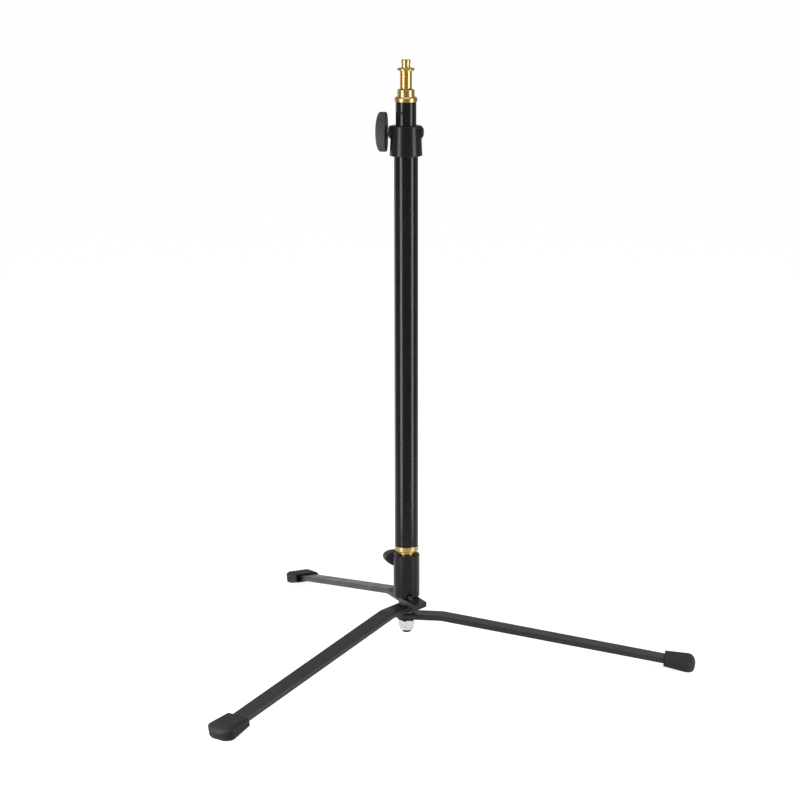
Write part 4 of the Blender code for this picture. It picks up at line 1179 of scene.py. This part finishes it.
class BuildSpigot(bpy.types.Operator):
    """Turn the brass spigot and the rivet that holds it"""
    bl_idname = "light_stand.spigot"
    bl_label = "Pole spigot"

    def execute(self, context):
        make_pole_spigot()
        make_tube_rivet("spigot_rivet_head", "spigot_rivet", sizes().outer_tube,
                        SPIGOT_RIVET_AZIMUTH)
        return {"FINISHED"}


class BuildTubes(bpy.types.Operator):
    """Turn the outer tube and the tube that slides in it"""
    bl_idname = "light_stand.tubes"
    bl_label = "Tubes"

    def execute(self, context):
        for name, node, diameter, wall in (
                ("lower_tube", "outer_tube", sizes().outer_tube, TUBE_WALL),
                ("sliding_tube", "inner_tube", sizes().inner_tube, RISER_WALL)):
            make_sleeve(name, node, diameter / 2, diameter / 2 - wall, TUBE_RIM_EDGE, 160)
        return {"FINISHED"}


class BuildCollar(bpy.types.Operator):
    """Make the tapered collar and its rivet"""
    bl_idname = "light_stand.collar"
    bl_label = "Collar"

    def execute(self, context):
        make_collar()
        make_collar_rivet()
        return {"FINISHED"}


class BuildClamps(bpy.types.Operator):
    """Make the two oval knobs and their screws"""
    bl_idname = "light_stand.clamps"
    bl_label = "Clamps"

    def execute(self, context):
        make_knob("oval_knob_upper", "height_knob", HEIGHT_CLAMP_AZIMUTH, SCREW_Z,
                  HEIGHT_KNOB_START, 0.0)
        make_knob("oval_knob_lower", "base_knob", BASE_CLAMP_AZIMUTH, BASE_SCREW_Z,
                  BASE_KNOB_START, BASE_KNOB_ROLL)
        make_clamp_screw("clamp_screw_upper", "height_screw", HEIGHT_CLAMP_AZIMUTH, SCREW_Z,
                         *HEIGHT_SCREW_ENDS)
        make_clamp_screw("clamp_screw_lower", "base_screw", BASE_CLAMP_AZIMUTH, BASE_SCREW_Z,
                         *BASE_SCREW_ENDS)
        return {"FINISHED"}


class BuildColumn(bpy.types.Operator):
    """Make the socket column"""
    bl_idname = "light_stand.column"
    bl_label = "Socket column"

    def execute(self, context):
        make_base_column()
        return {"FINISHED"}


class BuildLegs(bpy.types.Operator):
    """Make the three flat bars"""
    bl_idname = "light_stand.legs"
    bl_label = "Leg bars"

    def execute(self, context):
        for leg in LEGS:
            make_leg(*leg)
        return {"FINISHED"}


class BuildBoots(bpy.types.Operator):
    """Make the three rubber boots"""
    bl_idname = "light_stand.boots"
    bl_label = "Boots"

    def execute(self, context):
        for leg in LEGS:
            make_boot(*leg)
        return {"FINISHED"}


class BuildFasteners(bpy.types.Operator):
    """Make the spacers, the washer, the pivot bolt and the lock nut"""
    bl_idname = "light_stand.fasteners"
    bl_label = "Fasteners"

    def execute(self, context):
        make_sleeve("upper_spacer_ring", "spacer_upper", SPACER_R, bolt_hole(), 0.3 * MM)
        make_sleeve("lower_spacer_ring", "spacer_lower", SPACER_R, bolt_hole(), 0.3 * MM)
        make_sleeve("flat_washer", "bottom_washer", WASHER_R, bolt_hole(), 0.15 * MM)
        make_pivot_bolt()
        make_lock_nut()
        return {"FINISHED"}


class FinishHiddenParts(bpy.types.Operator):
    """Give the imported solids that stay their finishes"""
    bl_idname = "light_stand.hidden_parts"
    bl_label = "Hidden parts"

    def execute(self, context):
        for node in ("inner_tube_bush", "guide_ring", "height_pad", "base_pad", "nut_insert"):
            for slot in frame["nodes"][node].material_slots:
                slot.link = "OBJECT"
                slot.material = finish_of(SLOTS[node])
        return {"FINISHED"}


OPERATORS = (BuildStage, BuildStud, BuildSpigot, BuildTubes, BuildCollar, BuildClamps, BuildColumn,
             BuildLegs, BuildBoots, BuildFasteners, FinishHiddenParts)


class LightStandPanel(bpy.types.Panel):
    """Lists the steps that build the stand, with its sizes and colours"""
    bl_idname = "VIEW3D_PT_light_stand"
    bl_label = "Light Stand"
    bl_space_type = "VIEW_3D"
    bl_region_type = "UI"
    bl_category = "Light Stand"

    def draw(self, context):
        layout = self.layout
        for operator in OPERATORS:
            layout.operator(operator.bl_idname)
        for group in (context.scene.stand_sizes, context.scene.stand_colours):
            box = layout.box()
            for name in group.__annotations__:
                box.prop(group, name)


CLASSES = (StandSizes, StandColours, *OPERATORS, LightStandPanel)


def register():
    """Register the classes and the stand's properties."""
    for cls in CLASSES:
        bpy.utils.register_class(cls)
    bpy.types.Scene.stand_sizes = PointerProperty(type=StandSizes)
    bpy.types.Scene.stand_colours = PointerProperty(type=StandColours)


def unregister():
    """Remove the classes and the stand's properties."""
    del bpy.types.Scene.stand_sizes
    del bpy.types.Scene.stand_colours
    for cls in reversed(CLASSES):
        bpy.utils.unregister_class(cls)


def main():
    """Build the stage and every piece."""
    register()
    for operator in OPERATORS:
        group, name = operator.bl_idname.split(".")
        getattr(getattr(bpy.ops, group), name)()


if __name__ == "__main__":
    main()
